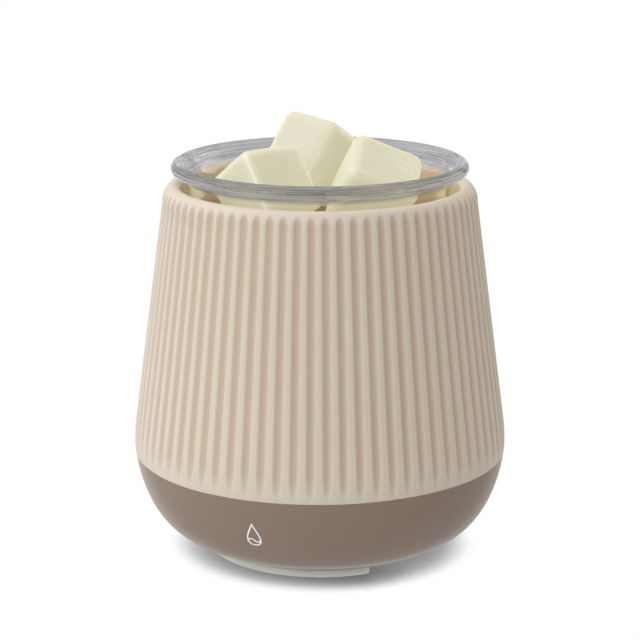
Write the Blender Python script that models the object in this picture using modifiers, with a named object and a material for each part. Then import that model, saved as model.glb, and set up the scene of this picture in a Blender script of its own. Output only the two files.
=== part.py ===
"""Electric wax warmer pot: fluted ceramic body, lift-out glass dish, hot plate and switched cord.

Blender 4.5 script, metres, +Z up. The origin lies on the floor under the middle of the front foot,
and the axis of the pot stands POT_AXIS_Y behind it. The front faces -Y and the cord leaves at the
back, +Y. Sizes below are in millimetres and are turned into metres by MM where the meshes are made.
Places are given from the axis of the pot, and place() moves them to the origin's frame.
"""

import math

import bmesh
import bpy
from mathutils import Matrix, Vector

MM = 0.001
GAP = 0.3
MERGE_DISTANCE = 0.00001
SHARP_ANGLE = math.radians(35)
POT_AXIS_Y = 32.0
POT_AXIS = Vector((0, POT_AXIS_Y, 0))

# ceramic body
BELLY_RADIUS = 60.0
BELLY_HEIGHT = 35.0
BELLY_HANDLE = 5.0
BELLY_TURN_RADIUS = 55.0
TAPER_SLOPE = 0.1345
BODY_BOTTOM = 4.5
BODY_BOTTOM_RADIUS = 38.0
BOTTOM_HANDLE_RADIUS = 56.2
BOTTOM_HANDLE_HEIGHT = 5.1
LIP_START = 113.7
LIP_TOP = 119.0
LIP_TOP_RADIUS = 46.1
LIP_INNER_ROUND = 1.9
WALL = 5.5
BODY_OPENING_RADIUS = 34.0
BODY_FLOOR_TOP = 9.5
LEDGE_RADIUS = 38.5
LEDGE_TOP = 90.5
LEDGE_DEPTH = 4.0
LEDGE_SLOPE_BOTTOM = 82.0

# flutes: straight round grooves laid along the taper
FLUTE_COUNT = 74
FLUTE_RADIUS = 1.6
FLUTE_DEPTH = 0.8
FLUTE_PHASE = -1.0
FLUTE_BOTTOM = 25.0
FLUTE_TOP = 124.0

# glass dish
RIM_RADIUS = 44.9
RIM_HEIGHT = 124.2
RIM_BEAD = 2.1
DISH_BOTTOM = 97.0
DISH_CORNER = 8.0
DISH_CORNER_RADIUS = 31.5
DISH_GLASS = 2.6
DISH_WALL_TOP = 118.0
DISH_WALL_RADIUS = 41.5
DISH_NECK = 122.0

# wax cubes: place of the centre and turn about X, Y and Z in degrees
WAX_SIDE = 23.7
WAX_TAPER = 0.985
WAX_ROUND = 3.4
WAX_PLACES = {
    "wax_cube_left": ((-14.2, -9.8, 115.7), (0.4, -34.4, -24.2)),
    "wax_cube_rear": ((-10.6, 18.5, 122.1), (-33.1, 4.2, -20.9)),
    "wax_cube_right": ((16.9, 3.9, 117.1), (26.7, 22.6, 28.8)),
}

# heater stack, from the plate down
PLATE_RADIUS = 37.0
PLATE_THICKNESS = 3.0
PLATE_TOP = DISH_BOTTOM - GAP
PLATE_BOTTOM = PLATE_TOP - PLATE_THICKNESS
CUP_TOP = PLATE_BOTTOM - GAP
CUP_SHEET = 0.8
CUP_RADIUS = 34.0
CUP_FLANGE_RADIUS = 44.0
CUP_BOTTOM = 72.0
GASKET_INNER = 39.5
ELEMENT_INNER = 8.0
ELEMENT_OUTER = 28.0
ELEMENT_THICKNESS = 3.0
ELEMENT_BOTTOM = CUP_TOP - ELEMENT_THICKNESS
DISC_RADIUS = 30.0
DISC_THICKNESS = 1.8
DISC_BOTTOM = ELEMENT_BOTTOM - GAP - DISC_THICKNESS
CLAMP_LENGTH = 56.0
CLAMP_WIDTH = 10.0
CLAMP_SHEET = 1.0
CLAMP_BOTTOM = DISC_BOTTOM - GAP - CLAMP_SHEET
STUD_RADIUS = 2.0
STUD_LENGTH = 11.0
STUD_HEAD_RADIUS = 5.0
STUD_HEAD = 1.0
NUT_ACROSS_CORNERS = 8.1
NUT_HEIGHT = 3.2

# thermal fuse under the clamp bar
FUSE_X = 15.0
FUSE_RADIUS = 2.0
FUSE_LENGTH = 11.0
FUSE_LEAD_RADIUS = 0.5
FUSE_LEAD = 7.0
FUSE_Z = CLAMP_BOTTOM - GAP - FUSE_RADIUS
CLIP_SHEET = 0.6
CLIP_WIDTH = 4.0
CLIP_SCREW_X = 22.5
CLIP_END_X = 26.0
SMALL_SCREW_RADIUS = 1.2

# base plate, feet and the rods that pull the pan down
BASE_FLANGE_RADIUS = 36.4
BASE_BOTTOM = 3.3
BASE_FLANGE_TOP = BODY_BOTTOM - GAP
BASE_SPIGOT_RADIUS = BODY_OPENING_RADIUS - 0.4
BASE_TOP = 7.9
FOOT_RADIUS = 36.8
FOOT_INNER = 27.5
FOOT_HEIGHT = BASE_BOTTOM - GAP
FOOT_HALF_ANGLE = 51.0
FOOT_ROUND = 0.7
ROD_CIRCLE = 23.5
ROD_ANGLES = {"left": 150.0, "right": 30.0, "front": 270.0}
ROD_RADIUS = 1.5
ROD_HEAD_RADIUS = 2.9
ROD_HEAD_BOTTOM = 3.8
ROD_HEAD = 1.9
ROD_TOP = 78.0
ROD_NUT_ACROSS_CORNERS = 6.4
ROD_NUT_HEIGHT = 2.4

# wiring inside the pot
BLOCK_SIZE = (22.0, 11.0, 10.5)
BLOCK_Y = 3.5
WIRE_SPREAD = 5.5
LEAD_RADIUS = 0.8
LEAD_HOLE_RADIUS = 5.5

# cord, its coil and the strain relief in the back wall
CORD_RADIUS = 2.4
CORD_INSIDE_Z = 11.4
CORD_LEVEL = 3.7
COIL_PITCH = 5.2
COIL_CENTRE = (-50.0, 102.5)
COIL_RADIUS = 50.0
COIL_STEP_DEGREES = 15.0
COIL_CLIMB_START = 300.0
EXIT_RADIUS = 56.7
EXIT_HEIGHT = 20.0
EXIT_SLOPE = 20.0
GROMMET_HOLE = 5.0
GROMMET_FLANGE = 7.5
GROMMET_SLEEVE = 21.0
BORE = CORD_RADIUS + GAP
TIE_ANGLE = 150.0
TIE_SHEET = 0.8
TIE_WIDTH = 9.0
SADDLE_Y = 21.0
SADDLE_WIDTH = 6.0
SADDLE_SCREW_X = 8.3

# in-line switch and plug, placed from the centre of the coil
SWITCH_PLACE = (17.0, 8.0)
SWITCH_SIZE = (22.0, 50.0)
SWITCH_BOTTOM = 0.1
SWITCH_SPLIT = CORD_LEVEL + COIL_PITCH
SWITCH_TOP = 17.4
SWITCH_WALL = 1.8
SWITCH_ROUND = 3.0
SWITCH_SCREW_Y = 14.0
CORD_SEAT = 3.0
PIN_Z = 14.0
PIN_RADIUS = 1.0
PIN_LENGTH = 15.0
ROCKER_WIDTH = 9.0
ROCKER_HALF_LENGTH = 6.6
ROCKER_TILT = 8.0
EAR_THICKNESS = 2.0
EAR_LENGTH = 7.0
EAR_HEIGHT = 6.0
EAR_CLEARANCE = 0.8
POST_RADIUS = 3.6
SCREW_WELL = 1.0
SWITCH_HEAD_RADIUS = 2.4
SWITCH_HEAD = 0.8
PLUG_PLACE = (-20.0, -3.0)
PLUG_SIZE = (24.0, 26.0, 17.4)
PLUG_ROUND = 3.5
PLUG_TAIL = 10.0
PLUG_TAIL_RADIUS = 5.2
PLUG_TAIL_END_RADIUS = 3.6
BLADE_SPACING = 12.7
BLADE_WIDTH = 6.3
BLADE_THICKNESS = 1.5
BLADE_LENGTH = 16.0
BLADE_SEAT = 6.0
BLADE_CHAMFER = 1.5
BLADE_HOLE_RADIUS = 1.6
BLADE_HOLE_FROM_TIP = 4.0


def make_collection(name):
    collection = bpy.data.collections.new(name)
    bpy.context.scene.collection.children.link(collection)
    return collection


def clear_scene():
    for item in list(bpy.data.objects):
        bpy.data.objects.remove(item, do_unlink=True)


def linear(channel):
    """Turn one 0-255 display channel into the linear value that a shader takes."""
    value = channel / 255
    if value <= 0.04045:
        return value / 12.92
    return ((value + 0.055) / 1.055) ** 2.4


def make_material(name, colour, roughness, metallic=0.0, transmission=0.0):
    material = bpy.data.materials.new(name)
    material.use_nodes = True
    shader = material.node_tree.nodes["Principled BSDF"]
    shader.inputs["Base Color"].default_value = (*[linear(channel) for channel in colour], 1.0)
    shader.inputs["Roughness"].default_value = roughness
    shader.inputs["Metallic"].default_value = metallic
    shader.inputs["Transmission Weight"].default_value = transmission
    material.diffuse_color = (*[linear(channel) for channel in colour], 1.0)
    return material


def place(name, mesh, material, location=(0, 0, 0), rotation=(0, 0, 0)):
    """Put a mesh in the parts collection; millimetres from the pot's axis, rotation in degrees."""
    item = bpy.data.objects.new(name, mesh)
    item.location = (Vector(location) + POT_AXIS) * MM
    item.rotation_euler = [math.radians(angle) for angle in rotation]
    mesh.materials.append(material)
    PARTS.objects.link(item)
    return item


def place_cutter(name, mesh, location=(0, 0, 0), rotation=(0, 0, 0)):
    item = bpy.data.objects.new(name, mesh)
    item.location = (Vector(location) + POT_AXIS) * MM
    item.rotation_euler = [math.radians(angle) for angle in rotation]
    item.hide_render = True
    item.display_type = "WIRE"
    CUTTERS.objects.link(item)
    return item


def smooth(mesh):
    mesh.shade_smooth()
    mesh.set_sharp_from_angle(angle=SHARP_ANGLE)


def add_screw(item, steps):
    screw = item.modifiers.new("turn", "SCREW")
    screw.steps = steps
    screw.render_steps = steps
    screw.use_merge_vertices = True
    screw.merge_threshold = MERGE_DISTANCE
    screw.use_smooth_shade = True
    return screw


def add_bevel(item, width, segments):
    bevel = item.modifiers.new("round", "BEVEL")
    bevel.width = width * MM
    bevel.segments = segments
    bevel.limit_method = "ANGLE"
    bevel.angle_limit = math.radians(40)
    return bevel


def cut(item, cutter):
    boolean = item.modifiers.new("cut", "BOOLEAN")
    boolean.operation = "DIFFERENCE"
    boolean.object = cutter


def join(item, cutter):
    boolean = item.modifiers.new("join", "BOOLEAN")
    boolean.operation = "UNION"
    boolean.object = cutter


def profile_mesh(name, profile, closed):
    """Make the edges of a turned shape from (radius, height) pairs in millimetres."""
    verts = [(radius * MM, 0, height * MM) for radius, height in profile]
    edges = [(index, index + 1) for index in range(len(verts) - 1)]
    if closed:
        edges.append((len(verts) - 1, 0))
    mesh = bpy.data.meshes.new(name)
    mesh.from_pydata(verts, edges, [])
    return mesh


def turned(name, profile, material, steps=32, closed=False, location=(0, 0, 0), rotation=(0, 0, 0)):
    """Turn a profile about Z; an open profile starts and ends on the axis, a closed one is a ring."""
    item = place(name, profile_mesh(name, profile, closed), material, location, rotation)
    add_screw(item, steps)
    return item


def ring(name, inner, outer, bottom, top, material, steps=32, location=(0, 0, 0)):
    profile = [(outer, top), (outer, bottom), (inner, bottom), (inner, top)]
    return turned(name, profile, material, steps, closed=True, location=location)


def box_mesh(name, size):
    mesh = bpy.data.meshes.new(name)
    shape = bmesh.new()
    bmesh.ops.create_cube(shape, size=1.0)
    bmesh.ops.scale(shape, vec=Vector(size) * MM, verts=shape.verts)
    shape.to_mesh(mesh)
    shape.free()
    return mesh


def rods_mesh(name, places, radius, low, high, segments=16):
    """Upright cylinders of one size standing at several (x, y) places, in one mesh."""
    mesh = bpy.data.meshes.new(name)
    shape = bmesh.new()
    for x, y in places:
        middle = Vector((x, y, (low + high) / 2)) * MM
        bmesh.ops.create_cone(
            shape,
            cap_ends=True,
            segments=segments,
            radius1=radius * MM,
            radius2=radius * MM,
            depth=(high - low) * MM,
            matrix=Matrix.Translation(middle),
        )
    shape.to_mesh(mesh)
    shape.free()
    return mesh


def drill(item, places, radius, low, high, segments=16):
    """Cut upright round holes through a part at (x, y) places."""
    name = item.name + "_drill"
    cut(item, place_cutter(name, rods_mesh(name, places, radius, low, high, segments)))


def curve_to_mesh(name, curve):
    """Bake a curve to a welded mesh, so that it can be cut and bevelled."""
    guide = bpy.data.objects.new(name + "_guide", curve)
    CUTTERS.objects.link(guide)
    bpy.context.view_layer.update()
    evaluated = guide.evaluated_get(bpy.context.evaluated_depsgraph_get())
    mesh = bpy.data.meshes.new_from_object(evaluated)
    mesh.name = name
    bpy.data.objects.remove(guide, do_unlink=True)
    bpy.data.curves.remove(curve)
    shape = bmesh.new()
    shape.from_mesh(mesh)
    bmesh.ops.remove_doubles(shape, verts=shape.verts, dist=MERGE_DISTANCE)
    bmesh.ops.recalc_face_normals(shape, faces=shape.faces)
    shape.to_mesh(mesh)
    shape.free()
    return mesh


def outline_mesh(name, outlines, thickness):
    """Extrude closed outlines of (x, y) pairs; the outlines after the first are holes."""
    curve = bpy.data.curves.new(name, "CURVE")
    curve.dimensions = "2D"
    curve.fill_mode = "BOTH"
    curve.extrude = thickness / 2 * MM
    for outline in outlines:
        spline = curve.splines.new("POLY")
        spline.points.add(len(outline) - 1)
        for point, (x, y) in zip(spline.points, outline):
            point.co = (x * MM, y * MM, 0, 1)
        spline.use_cyclic_u = True
    return curve_to_mesh(name, curve)


def wire(name, points, radius, material):
    """A round wire through points in millimetres."""
    curve = bpy.data.curves.new(name, "CURVE")
    curve.dimensions = "3D"
    curve.bevel_depth = radius * MM
    curve.bevel_resolution = 2
    curve.use_fill_caps = True
    spline = curve.splines.new("POLY")
    spline.points.add(len(points) - 1)
    for point, position in zip(spline.points, points):
        point.co = (*(Vector(position) * MM), 1)
    mesh = curve_to_mesh(name, curve)
    smooth(mesh)
    return place(name, mesh, material)


def arc(centre_x, centre_y, radius, start, end, count):
    """Points on an arc; the angles are in degrees and both ends are included."""
    angles = [math.radians(start + (end - start) * step / count) for step in range(count + 1)]
    return [(centre_x + radius * math.cos(a), centre_y + radius * math.sin(a)) for a in angles]


def ease(amount):
    """Smooth step from 0 to 1."""
    amount = min(max(amount, 0.0), 1.0)
    return amount * amount * (3 - 2 * amount)


def smooth_path(points, steps):
    """Catmull-Rom curve through the points, with the last point left out."""
    ends = [points[0]] + list(points) + [points[-1]]
    path = []
    for index in range(1, len(points)):
        before, start, end, after = (Vector(ends[index + offset]) for offset in (-1, 0, 1, 2))
        for step in range(steps):
            t = step / steps
            path.append(
                0.5 * (2 * start + (end - before) * t
                       + (2 * before - 5 * start + 4 * end - after) * t ** 2
                       + (3 * start - before - 3 * end + after) * t ** 3)
            )
    return path


# ceramic body


def cone_radius(height):
    """Radius of the straight taper, carried on past both of its ends."""
    turn_end = BELLY_HEIGHT + TAPER_SLOPE * BELLY_TURN_RADIUS
    turn_radius = BELLY_RADIUS - TAPER_SLOPE ** 2 * BELLY_TURN_RADIUS / 2
    return turn_radius - TAPER_SLOPE * (height - turn_end)


def body_bottom_curve(count):
    """Bezier curve from the belly down to the edge of the flat bottom."""
    handles = (
        Vector((BELLY_RADIUS, BELLY_HEIGHT)),
        Vector((BELLY_RADIUS, BELLY_HEIGHT - BELLY_HANDLE)),
        Vector((BOTTOM_HANDLE_RADIUS, BOTTOM_HANDLE_HEIGHT)),
        Vector((BODY_BOTTOM_RADIUS, BODY_BOTTOM)),
    )
    points = []
    for step in range(count + 1):
        t = step / count
        u = 1 - t
        weights = (u ** 3, 3 * u * u * t, 3 * u * t * t, t ** 3)
        point = sum((weight * handle for weight, handle in zip(weights, handles)), Vector((0, 0)))
        points.append((point.x, point.y))
    return points


def body_profile():
    """Closed outline of the ceramic: down the outside from the lip, then up the inside."""
    lip_radius = cone_radius(LIP_START)
    inner_top = LIP_TOP_RADIUS - LIP_INNER_ROUND
    outside = []
    for step in range(5):
        angle = math.radians(90 - 22.5 * step)
        radius = LIP_TOP_RADIUS + (lip_radius - LIP_TOP_RADIUS) * math.cos(angle)
        outside.append((radius, LIP_START + (LIP_TOP - LIP_START) * math.sin(angle)))
    turn = TAPER_SLOPE * BELLY_TURN_RADIUS
    outside.append((cone_radius(BELLY_HEIGHT + turn), BELLY_HEIGHT + turn))
    bottom = body_bottom_curve(7)
    floor = body_bottom_curve(3)[1:-1]
    inside = [(BODY_OPENING_RADIUS, BODY_BOTTOM), (BODY_OPENING_RADIUS, BODY_FLOOR_TOP)]
    inside += [(radius - WALL, height + WALL * 0.8) for radius, height in reversed(floor)]
    inside += [
        (cone_radius(LEDGE_SLOPE_BOTTOM) - WALL, LEDGE_SLOPE_BOTTOM),
        (LEDGE_RADIUS, LEDGE_TOP - LEDGE_DEPTH),
        (LEDGE_RADIUS, LEDGE_TOP),
        (cone_radius(LEDGE_TOP) - WALL, LEDGE_TOP),
        (inner_top, LIP_TOP - LIP_INNER_ROUND),
    ]
    lip = arc(inner_top + LIP_INNER_ROUND, LIP_TOP - LIP_INNER_ROUND, LIP_INNER_ROUND, 180, 90, 2)
    return outside + bottom + inside + lip[1:-1]


def flute_cutter():
    """All the grooves as one set of straight rods lying just proud of the taper."""
    mesh = bpy.data.meshes.new("flute_cutter")
    shape = bmesh.new()
    lean = Matrix.Rotation(-math.atan(TAPER_SLOPE), 4, "Y")
    height = (FLUTE_BOTTOM + FLUTE_TOP) / 2
    radius = cone_radius(height) + FLUTE_RADIUS - FLUTE_DEPTH
    for index in range(FLUTE_COUNT):
        angle = math.radians(-90 + FLUTE_PHASE + 360 / FLUTE_COUNT * index)
        spin = Matrix.Rotation(angle, 4, "Z")
        shift = Matrix.Translation(Vector((radius, 0, height)) * MM)
        bmesh.ops.create_cone(
            shape,
            cap_ends=True,
            segments=6,
            radius1=FLUTE_RADIUS * MM,
            radius2=FLUTE_RADIUS * MM,
            depth=(FLUTE_TOP - FLUTE_BOTTOM) * MM,
            matrix=spin @ shift @ lean,
        )
    shape.to_mesh(mesh)
    shape.free()
    return place_cutter("flute_cutter", mesh)


def exit_frame():
    """Location and rotation of the cord's way out through the back wall."""
    return (0, EXIT_RADIUS, EXIT_HEIGHT), (-90 - EXIT_SLOPE, 0, 0)


def make_ceramic_shell():
    half_facet = 180 / FLUTE_COUNT
    turn = (0, 0, -90 + FLUTE_PHASE + half_facet)
    shell = turned("ceramic_shell", body_profile(), CREAM, FLUTE_COUNT, closed=True, rotation=turn)
    cut(shell, flute_cutter())
    location, rotation = exit_frame()
    hole = rods_mesh("cord_hole_cutter", [(0, 0)], GROMMET_HOLE, -12, 6)
    cut(shell, place_cutter("cord_hole_cutter", hole, location, rotation))


# glass dish and wax


def dish_profile():
    """Closed outline of the glass: over the rolled rim, down the outside, up the inside."""
    corner_z = DISH_BOTTOM + DISH_CORNER
    neck = RIM_RADIUS - RIM_BEAD * 0.75
    outside = arc(RIM_RADIUS, RIM_HEIGHT, RIM_BEAD, 180, -120, 7)
    outside += [(neck - 0.9, DISH_NECK - 1.2), (DISH_WALL_RADIUS, DISH_WALL_TOP)]
    outside += arc(DISH_CORNER_RADIUS, corner_z, DISH_CORNER, 0, -90, 3)
    inside = arc(DISH_CORNER_RADIUS, corner_z, DISH_CORNER - DISH_GLASS, -90, 0, 3)
    inside.append((DISH_WALL_RADIUS - DISH_GLASS, DISH_WALL_TOP))
    inside.append((neck - DISH_GLASS, DISH_NECK))
    return outside, inside


def make_glass_dish():
    outside, inside = dish_profile()
    floor_low = [(0, DISH_BOTTOM)]
    floor_high = [(0, DISH_BOTTOM + DISH_GLASS)]
    turned("glass_dish", floor_high + inside + outside + floor_low, GLASS, 40)


def make_wax_cubes():
    for name, (location, rotation) in WAX_PLACES.items():
        mesh = box_mesh(name, (WAX_SIDE, WAX_SIDE, WAX_SIDE))
        for vertex in mesh.vertices:
            if vertex.co.z > 0:
                vertex.co.x *= WAX_TAPER
                vertex.co.y *= WAX_TAPER
        add_bevel(place(name, mesh, WAX, location, rotation), WAX_ROUND, 3)


# heater


def make_heater_plate():
    edge = 0.8
    profile = [
        (0, PLATE_TOP),
        (PLATE_RADIUS - edge, PLATE_TOP),
        (PLATE_RADIUS, PLATE_TOP - edge),
        (PLATE_RADIUS, PLATE_BOTTOM),
        (0, PLATE_BOTTOM),
    ]
    turned("heater_plate", profile, ALUMINIUM, 32)


def make_heater_cup():
    floor = CUP_BOTTOM + CUP_SHEET
    profile = [
        (0, floor),
        (CUP_RADIUS - CUP_SHEET, floor),
        (CUP_RADIUS - CUP_SHEET, CUP_TOP),
        (CUP_FLANGE_RADIUS, CUP_TOP),
        (CUP_FLANGE_RADIUS, CUP_TOP - CUP_SHEET),
        (CUP_RADIUS, CUP_TOP - CUP_SHEET),
        (CUP_RADIUS, CUP_BOTTOM),
        (0, CUP_BOTTOM),
    ]
    cup = turned("heater_cup", profile, STEEL, 32)
    drill(cup, rod_places(), ROD_RADIUS + GAP, CUP_BOTTOM - 1, floor + 1, 12)
    lead_hole = rods_mesh("lead_hole_cutter", [(0, 0)], LEAD_HOLE_RADIUS, CUP_BOTTOM - 1, floor + 1)
    cut(cup, place_cutter("lead_hole_cutter", lead_hole))
    gasket_top = CUP_TOP - CUP_SHEET - GAP
    ring("cup_gasket", GASKET_INNER, CUP_FLANGE_RADIUS, LEDGE_TOP + GAP, gasket_top, SILICONE)


def make_heating_element():
    ring("heating_element", ELEMENT_INNER, ELEMENT_OUTER, ELEMENT_BOTTOM, CUP_TOP, CEMENT)
    disc_top = DISC_BOTTOM + DISC_THICKNESS
    ring("insulation_disc", STUD_RADIUS + GAP, DISC_RADIUS, DISC_BOTTOM, disc_top, MICA)


def make_element_clamp():
    half_length = CLAMP_LENGTH / 2
    half_width = CLAMP_WIDTH / 2
    outline = arc(half_length - half_width, 0, half_width, -90, 90, 6)
    outline += arc(half_width - half_length, 0, half_width, 90, 270, 6)
    stud_hole = arc(0, 0, STUD_RADIUS + GAP, 0, 330, 11)
    screw_hole = arc(CLIP_SCREW_X, 0, SMALL_SCREW_RADIUS + GAP, 0, 330, 11)
    mesh = outline_mesh("element_clamp", [outline, stud_hole, screw_hole], CLAMP_SHEET)
    place("element_clamp", mesh, STEEL, (0, 0, CLAMP_BOTTOM + CLAMP_SHEET / 2))


def make_clamp_stud():
    low = CUP_TOP - STUD_LENGTH
    profile = [
        (0, CUP_TOP),
        (STUD_HEAD_RADIUS, CUP_TOP),
        (STUD_HEAD_RADIUS, CUP_TOP - STUD_HEAD),
        (STUD_RADIUS, CUP_TOP - STUD_HEAD),
        (STUD_RADIUS, low),
        (0, low),
    ]
    turned("clamp_stud", profile, STEEL, 16)
    make_nut("clamp_nut", (0, 0), CLAMP_BOTTOM - GAP, NUT_ACROSS_CORNERS, NUT_HEIGHT, STUD_RADIUS)


def make_nut(name, position, top, across_corners, height, thread_radius):
    """Hexagon nut with its upper face at the given height."""
    hexagon = arc(0, 0, across_corners / 2, 0, 300, 5)
    hole = arc(0, 0, thread_radius + GAP, 0, 330, 11)
    mesh = outline_mesh(name, [hexagon, hole], height)
    place(name, mesh, STEEL, (*position, top - height / 2))


def make_thermal_fuse():
    half_body = FUSE_LENGTH / 2
    half_all = half_body + FUSE_LEAD
    profile = [
        (0, half_all),
        (FUSE_LEAD_RADIUS, half_all),
        (FUSE_LEAD_RADIUS, half_body),
        (FUSE_RADIUS, half_body - 0.8),
        (FUSE_RADIUS, 0.8 - half_body),
        (FUSE_LEAD_RADIUS, -half_body),
        (FUSE_LEAD_RADIUS, -half_all),
        (0, -half_all),
    ]
    turned("thermal_fuse", profile, BRASS, 12, location=(FUSE_X, 0, FUSE_Z), rotation=(90, 0, 0))


def make_fuse_clip():
    """Strap bent under the fuse, drawn in the XZ plane and given its width along Y."""
    inner = FUSE_RADIUS + GAP
    outer = inner + CLIP_SHEET
    tab_top = CLAMP_BOTTOM - GAP - FUSE_Z
    tab_low = tab_top - CLIP_SHEET
    end = CLIP_END_X - FUSE_X
    outline = [(-outer, tab_top)] + arc(0, 0, outer, 180, 360, 8)
    outline += [(outer, tab_low), (end, tab_low), (end, tab_top), (inner, tab_top)]
    outline += arc(0, 0, inner, 360, 180, 8) + [(-inner, tab_top)]
    mesh = outline_mesh("fuse_clip", [outline], CLIP_WIDTH)
    clip = place("fuse_clip", mesh, STEEL, (FUSE_X, 0, FUSE_Z), (90, 0, 0))
    hole_radius = SMALL_SCREW_RADIUS + GAP
    drill(clip, [(CLIP_SCREW_X, 0)], hole_radius, FUSE_Z - 3, CLAMP_BOTTOM, 12)
    head_top = FUSE_Z + tab_low - GAP
    make_screw("fuse_screw", (CLIP_SCREW_X, 0), head_top, CLAMP_BOTTOM + CLAMP_SHEET, upward=True)


def make_screw(name, position, seat, tip, upward=False, head_radius=2.3, head=1.5, angle=0.0):
    """Pan-head screw whose head bears at the seat height and whose shank ends at the tip."""
    length = abs(tip - seat)
    profile = [
        (0, head),
        (head_radius - 0.6, head),
        (head_radius, head - 0.6),
        (head_radius, 0),
        (SMALL_SCREW_RADIUS, 0),
        (SMALL_SCREW_RADIUS, -length),
        (0, -length),
    ]
    flip = 180.0 if upward else 0.0
    turned(name, profile, STEEL, 12, location=(*position, seat), rotation=(flip, 0, angle))


# base, feet and tie rods


def rod_places():
    angles = [math.radians(angle) for angle in ROD_ANGLES.values()]
    return [(ROD_CIRCLE * math.cos(angle), ROD_CIRCLE * math.sin(angle)) for angle in angles]


def make_base_plate():
    profile = [
        (0, BASE_TOP),
        (BASE_SPIGOT_RADIUS, BASE_TOP),
        (BASE_SPIGOT_RADIUS, BASE_FLANGE_TOP),
        (BASE_FLANGE_RADIUS, BASE_FLANGE_TOP),
        (BASE_FLANGE_RADIUS, BASE_BOTTOM),
        (0, BASE_BOTTOM),
    ]
    plate = turned("base_plate", profile, BASE_PLASTIC, 32)
    drill(plate, rod_places(), ROD_RADIUS + GAP, BASE_BOTTOM - 1, BASE_TOP + 1, 12)
    head_room = ROD_HEAD_BOTTOM + ROD_HEAD + GAP
    wells = rods_mesh("head_well_cutter", rod_places(), ROD_HEAD_RADIUS + GAP, BASE_BOTTOM - 1, head_room)
    cut(plate, place_cutter("head_well_cutter", wells))
    pilots = [(-SADDLE_SCREW_X, SADDLE_Y), (SADDLE_SCREW_X, SADDLE_Y)]
    pilot_radius = SMALL_SCREW_RADIUS + GAP
    pilot_holes = rods_mesh("pilot_cutter", pilots, pilot_radius, BASE_BOTTOM + 1.2, BASE_TOP + 1, 12)
    cut(plate, place_cutter("pilot_cutter", pilot_holes))


def make_foot(name, middle_angle):
    start = middle_angle - FOOT_HALF_ANGLE
    end = middle_angle + FOOT_HALF_ANGLE
    outline = arc(0, 0, FOOT_RADIUS, start, end, 12) + arc(0, 0, FOOT_INNER, end, start, 12)
    mesh = outline_mesh(name, [outline], FOOT_HEIGHT)
    add_bevel(place(name, mesh, SILICONE, (0, 0, FOOT_HEIGHT / 2)), FOOT_ROUND, 1)


def make_tie_rods():
    head_top = ROD_HEAD_BOTTOM + ROD_HEAD
    profile = [
        (0, ROD_TOP),
        (ROD_RADIUS, ROD_TOP),
        (ROD_RADIUS, head_top),
        (ROD_HEAD_RADIUS, head_top),
        (ROD_HEAD_RADIUS, ROD_HEAD_BOTTOM),
        (0, ROD_HEAD_BOTTOM),
    ]
    nut_top = CUP_BOTTOM + CUP_SHEET + GAP + ROD_NUT_HEIGHT
    for side, (x, y) in zip(ROD_ANGLES, rod_places()):
        turned("tie_rod_" + side, profile, STEEL, 12, location=(x, y, 0))
        nut_name = "tie_nut_" + side
        make_nut(nut_name, (x, y), nut_top, ROD_NUT_ACROSS_CORNERS, ROD_NUT_HEIGHT, ROD_RADIUS)


# wiring inside the pot


def make_terminal_block():
    bottom = BASE_TOP + GAP
    height = BLOCK_SIZE[2]
    centre = (0, BLOCK_Y, bottom + height / 2)
    block = place("terminal_block", box_mesh("terminal_block", BLOCK_SIZE), BLOCK_PLASTIC, centre)
    add_bevel(block, 0.8, 1)
    places = [(-WIRE_SPREAD, BLOCK_Y), (WIRE_SPREAD, BLOCK_Y)]
    top = bottom + height
    drill(block, places, 2.6, top - 4.5, top + 1, 12)
    for side, (x, y) in zip(("left", "right"), places):
        make_screw("terminal_screw_" + side, (x, y), top - 1.8, top - 4.2, head_radius=2.2)


def make_leads():
    """Two insulated wires from the terminal block up through the pan to the heater."""
    start_y = BLOCK_Y - BLOCK_SIZE[1] / 2 - GAP
    start_z = BASE_TOP + BLOCK_SIZE[2] / 2
    under_disc = DISC_BOTTOM - GAP - LEAD_RADIUS
    for name, side, end in (
        ("lead_live", 1, (FUSE_X, -FUSE_LENGTH / 2 - FUSE_LEAD - 1, FUSE_Z)),
        ("lead_neutral", -1, (-ELEMENT_OUTER * 0.7, -CLAMP_WIDTH * 0.8, under_disc)),
    ):
        points = [
            (side * WIRE_SPREAD, start_y, start_z),
            (side * WIRE_SPREAD, start_y - 4, start_z + 1),
            (side * 4.5, start_y - 6, start_z + 12),
            (side * 2.2, -3, CUP_BOTTOM * 0.7),
            (side * 2.2, 0, CUP_BOTTOM),
            (side * 4, -3, CUP_BOTTOM + 6),
            (end[0] * 0.6, -11, end[2] - 5),
            end,
        ]
        wire(name, smooth_path(points, 2) + [end], LEAD_RADIUS, LEAD_RUBBER)


# cord


def coil_height(angle, level):
    """Height of the coil: each turn lies flat, then climbs one pitch at the end of the turn."""
    climb = ease((angle % 360 - COIL_CLIMB_START) / (360 - COIL_CLIMB_START))
    return CORD_LEVEL + COIL_PITCH * (level + climb)


def coil_points(start, end, level):
    """Points on the coil from one angle to another; the level counts the turns already below."""
    count = round((end - start) / COIL_STEP_DEGREES)
    points = []
    for step in range(count + 1):
        angle = start + (end - start) * step / count
        turns = math.floor(angle / 360)
        height = coil_height(angle, level + turns)
        x = COIL_CENTRE[0] + COIL_RADIUS * math.cos(math.radians(angle))
        y = COIL_CENTRE[1] + COIL_RADIUS * math.sin(math.radians(angle))
        points.append((x, y, height))
    return points


def from_coil(points):
    """Move points given from the centre of the coil to the object's frame."""
    return [(x + COIL_CENTRE[0], y + COIL_CENTRE[1], z) for x, y, z in points]


def along_exit(distance):
    """Point on the line along which the cord passes the back wall."""
    slope = math.radians(EXIT_SLOPE)
    return (0, EXIT_RADIUS + distance * math.cos(slope), EXIT_HEIGHT - distance * math.sin(slope))


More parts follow.
